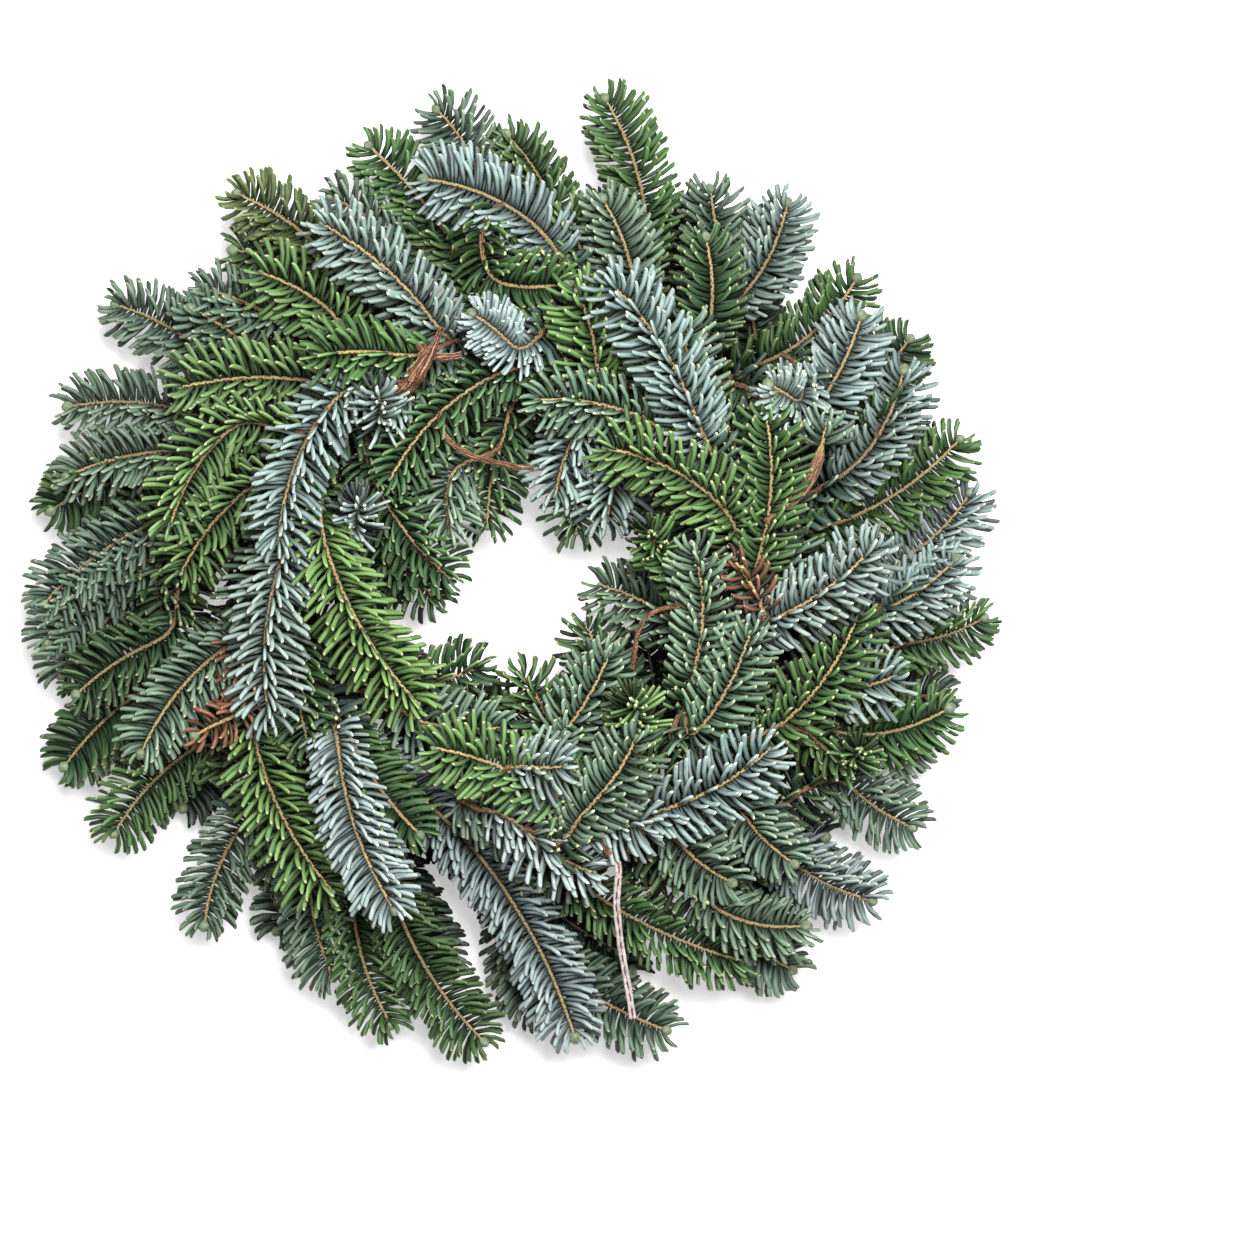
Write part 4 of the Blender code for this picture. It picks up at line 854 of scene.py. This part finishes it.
NEEDLE_FACTS = ("way", "up", "along", "left", "pitch", "part", "spread", "size", "girth", "tone", "bloom")
WOOD_FACTS = ("way", "up", "thick", "old", "cut", "tip", "run", "knob")
PATH_STEP = 0.0025        # between the points of a path that a tree builds on
STEM_THICK = 0.00095      # the radius of a shoot's stem below its needles
SHOOT_THICK = 0.00068     # and where the needles start
SHOOT_TAPER = 0.00018     # by how much it gets thinner up to the tip
RED_STEM_THICK = 0.0018   # the stout young stem at the right
RED_STEM_BARE = 0.78      # the share of it without needles
STOUT_WOOD = 0.0024       # bare wood thicker than this tapers to its broken end
BROKEN_END = 0.009        # over this length
DARK_PITCH = 0.00064      # of the sparse dark needles that close the wreath behind a shoot
LOW_LAYER = 0.0200        # shoots lower than this lie flat and close the wreath from below
STEEP = 0.55              # a shoot that rises more than this shows its tip from above, as a rosette
RIM_COMB = (1.08, 0.95, 0.88)   # more length, girth and pitch for needles of the rim and underside
TOP_COMB = (1.12, 1.0, 1.0)     # and for the others
draw = random.Random(11)
for number, name in enumerate(spray_names):
    leafy, facts = [], {key: [] for key in NEEDLE_FACTS}
    woody, more = [], {key: [] for key in WOOD_FACTS}
    rim_shoot = name[:5] in ("outer", "under")
    for s in [s for s in shoots if s.spray == name]:
        total = lengths(s.points)[-1]
        fine = at(s.points, np.linspace(0, total, max(8, int(total / PATH_STEP))))
        for _ in range(2):
            fine[1:-1] += 0.5 * ((fine[:-2] + fine[2:]) / 2 - fine[1:-1])
        if s.bare:
            against = np.nonzero(np.diff(fine, axis=0) @ (fine[-1] - fine[-4]) < 0)[0]
            fine = fine[against[-1] + 1:] if len(against) else fine
        fine = fine + MOVE

        # Its wood.
        along_all = lengths(fine)
        total = along_all[-1]
        red_stem = name == "top_spray_13" and s.tone == "s"
        leaf_at = RED_STEM_BARE * total if red_stem else s.leaf_from / s.total * total
        share_leaf = np.clip((along_all - leaf_at) / max(total - leaf_at, 1e-6), 0, 1)
        ends = np.zeros(len(fine))
        ends[-1] = 1.0
        knob_size = draw.uniform(0.75, 1.0) if rim_shoot else 0.45
        if s.bare:
            knots = 1 + 0.16 * np.sin(along_all * 900 + 1.0) + 0.10 * np.sin(along_all * 2100)
            thick = s.radius * knots * np.linspace(1.05, 0.85, len(fine))
            if s.radius > STOUT_WOOD:
                thick *= np.clip((total - along_all) / BROKEN_END, 0.42, 1.0)
            aged = np.ones(len(fine))
        else:
            thick = np.where(along_all < leaf_at, RED_STEM_THICK if red_stem else STEM_THICK,
                             SHOOT_THICK - SHOOT_TAPER * share_leaf)
            aged = np.where(along_all < leaf_at, 0.80, 0.20 - 0.20 * share_leaf)
        wood_path(woody, more, fine, thick, aged, ends * s.bare, ends * (not s.bare), knob_size)
        if s.bare:
            continue

        # Its needles. Those of the rim and the underside are combed flat, as on a branch pressed down.
        colour, frost, long, pitch, part, spread = LOOKS[s.tone]
        keep = along_all >= leaf_at - 0.001
        rise = abs(ups(fine)[0][keep][int(keep.sum()) // 2][2])
        roll = math.radians(draw.uniform(-28, 28))
        if rise > STEEP:
            part, spread, roll = 0, 180, 0.0
            long *= 0.78
            pitch *= 0.65
        shade = 1 + draw.uniform(-0.14, 0.14)
        hue = np.array(colour) * shade
        hue *= np.array([1 + draw.uniform(-0.10, 0.10), 1.0, 1 + draw.uniform(-0.10, 0.10)])
        long *= draw.uniform(0.95, 1.05)
        frost *= draw.uniform(0.8, 1.2)
        longer, girth, closer = RIM_COMB if rim_shoot else TOP_COMB
        long *= longer
        pitch *= closer
        part = draw.uniform(38, 52) if rim_shoot else part * draw.uniform(0.45, 1.0)
        spread = 114 if rim_shoot else spread
        if fine[keep][:, 2].mean() < LOW_LAYER:
            part, spread, pitch, girth, long = 64, 112, pitch * 0.95, 1.15, long * 1.02
        leafy_row(leafy, facts, fine[keep], (frost, long, girth, pitch, part, spread), share_leaf[keep],
                  total - along_all[keep], hue, roll)
        # Sparse needles further down the stem close the wreath behind the shoot; their colour is the shoot's
        # at 0.55, painted shade, and they have no bloom.
        inner = (along_all > 0.12 * leaf_at) & (along_all < leaf_at + 0.0015)
        if inner.sum() > 3 and not red_stem:
            look = (0.0, long * (1.4 if rim_shoot else 1.1), 1.25, DARK_PITCH, 20, 135)
            leafy_row(leafy, facts, fine[inner], look, np.zeros(inner.sum()), np.ones(inner.sum()),
                      hue * 0.55, roll)

    foliage = guide(name + "_needles", leafy, facts)
    grow(foliage, rows, {"Needle": needle, "Material": needle_look, "Seed": number * 17 + 3})
    twigs = guide(name + "_twigs", woody, more)
    grow(twigs, wood, {"Bud": bud, "Bark": bark_look, "Bud look": bud_look})
    for piece in (foliage, twigs):
        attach(piece, "root")
        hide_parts(name)

for pattern in (needle, bud):
    bpy.data.objects.remove(pattern, do_unlink=True)


# The ring that carries the sprays is bent from thin old twigs, laid round each other and hidden by
# the foliage. Three strands are made, from the same tree as the sprays' wood.
STRANDS = 3
STRAND_THICK = 0.0019
STRAND_APART = 0.0019     # from the ring's middle line to a strand's
STRAND_TURNS = 16
STRAND_POINTS = 260
strands, facts = [], {key: [] for key in WOOD_FACTS}
for k in range(STRANDS):
    steps = np.linspace(0, 2 * math.pi, STRAND_POINTS)
    twist = steps * STRAND_TURNS + 2 * math.pi * k / STRANDS
    out = np.column_stack([np.cos(steps), np.sin(steps), np.zeros(STRAND_POINTS)])
    path = RING_CENTRE + MOVE + out * (RING_RADIUS + STRAND_APART * np.cos(twist))[:, None]
    path[:, 2] += STRAND_APART * np.sin(twist)
    wood_path(strands, facts, path, STRAND_THICK, 1.0, 0.0, 0.0, 0.0)
ring = guide("ring_twigs", strands, facts)
grow(ring, wood, {"Bud": None, "Bark": bark_look, "Bud look": bud_look})
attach(ring, "root")
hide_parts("ring")


# The tie cord is pale cotton, two plies side by side, tied on the cut stem at the lower edge and left
# hanging over the foliage. The plies part and meet along it, and the gap between them has painted shade,
# dark on their inner sides where they part.
PLY_RADIUS = 0.00054
PLY_APART = 0.00053       # from the cord's middle to a ply's
PLY_SIDES = 8
PLY_STEP = 0.0004
PARTING = 0.00003         # how much further apart the plies are where they part
DASH_LENGTH = 0.0042      # from one parting to the next
SWAY_LENGTH = 0.021       # over which the cord rolls a little from side to side
twine_look, tree, principled = shader("tie_cord", 0.9)
inner_side = read(tree, "inner")
dash = read(tree, "dash")
colour = mix(tree, patches(tree, 900.0, 0.35, 0.65), (0.34, 0.26, 0.24), (0.62, 0.53, 0.51))
# Painted shade: the plies' inner sides are dark where they part.
painted_gap_shade = times(tree, field_range(tree, inner_side, 0.35, 0.8, 0.0, 0.9), dash)
tree.links.new(mix(tree, painted_gap_shade, colour, (0.05, 0.016, 0.014)), principled.inputs["Base Color"])

cord_length = lengths(twine_way)[-1]
steps = int(cord_length / PLY_STEP)
fine = at(twine_way, np.linspace(0, cord_length, steps)) + MOVE
way_all, up_all = ups(fine)
across = np.cross(way_all, up_all)
points, faces, inner_side, dashes = [], [], [], []
for k in (-1, 1):
    base = len(points)
    for i, p in enumerate(fine):
        run = i * cord_length / steps
        roll = 0.5 * math.sin(2 * math.pi * run / SWAY_LENGTH)
        aside = math.cos(roll) * across[i] + math.sin(roll) * up_all[i]
        above = np.cross(aside, way_all[i])
        beat = 0.5 + 0.5 * math.cos(2 * math.pi * run / DASH_LENGTH)
        middle = p + k * (PLY_APART + PARTING * beat) * aside
        for j in range(PLY_SIDES):
            a = 2 * math.pi * j / PLY_SIDES
            points.append(middle + PLY_RADIUS * (math.cos(a) * aside + math.sin(a) * above))
            inner_side.append(max(0.0, -k * math.cos(a)))
            dashes.append(1.0 if beat > 0.4 else 0.0)
    faces += stacked(base, PLY_SIDES, len(fine))
cord = add_mesh("tie_cord", points, [], faces, {"inner": inner_side, "dash": dashes})
cord.data.materials.append(twine_look)
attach(cord, "root")
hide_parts("hanging_twine")


# The stage is a white floor that glows a little, so that shadows stay soft, with one soft lamp above
# the upper right, a wide weak one overhead and a dim white room.
floor_look, tree, principled = shader("paper_floor", 0.9)
principled.inputs["Base Color"].default_value = (0.78, 0.78, 0.78, 1)
principled.inputs["Emission Color"].default_value = (1, 1, 1, 1)
principled.inputs["Emission Strength"].default_value = 0.42
floor = add_mesh("floor", [(-3, -3, 0), (3, -3, 0), (3, 3, 0), (-3, 3, 0)], [], [(0, 1, 2, 3)], {})
floor.data.materials.append(floor_look)


def lamp(name, where, size, power):
    """A square soft light aimed at the wreath."""
    data = bpy.data.lights.new(name, "AREA")
    data.shape = "SQUARE"
    data.size = size
    data.energy = power
    made = bpy.data.objects.new(name, data)
    made.location = where
    made.rotation_mode = "QUATERNION"
    made.rotation_quaternion = (-Vector(where)).to_track_quat("-Z", "Y")
    bpy.context.scene.collection.objects.link(made)


lamp("soft_key", (0.22, 0.34, 1.26), 0.56, 36.0)
lamp("soft_top", (-0.2, 0.1, 1.5), 1.4, 6.0)
world = bpy.data.worlds.new("room")
bpy.context.scene.world = world
world.use_nodes = True
world.node_tree.nodes["Background"].inputs["Color"].default_value = (1, 1, 1, 1)
world.node_tree.nodes["Background"].inputs["Strength"].default_value = 0.04

# The camera looks straight down, from above a spot to the right of the wreath's middle, so that the
# wreath sits in the picture as in the photo. The picture is PICTURE_WIDTH wide at PICTURE_DISTANCE.
PICTURE_WIDTH = 0.368
PICTURE_DISTANCE = 1.616
SENSOR_WIDTH = 36.0
eye = bpy.data.cameras.new("camera")
eye.sensor_width = SENSOR_WIDTH
eye.lens = SENSOR_WIDTH * PICTURE_DISTANCE / PICTURE_WIDTH
camera = bpy.data.objects.new("camera", eye)
camera.location = (0.0340, -0.0161, 1.63)
bpy.context.scene.collection.objects.link(camera)
bpy.context.scene.camera = camera
bpy.context.scene.view_settings.view_transform = "Standard"
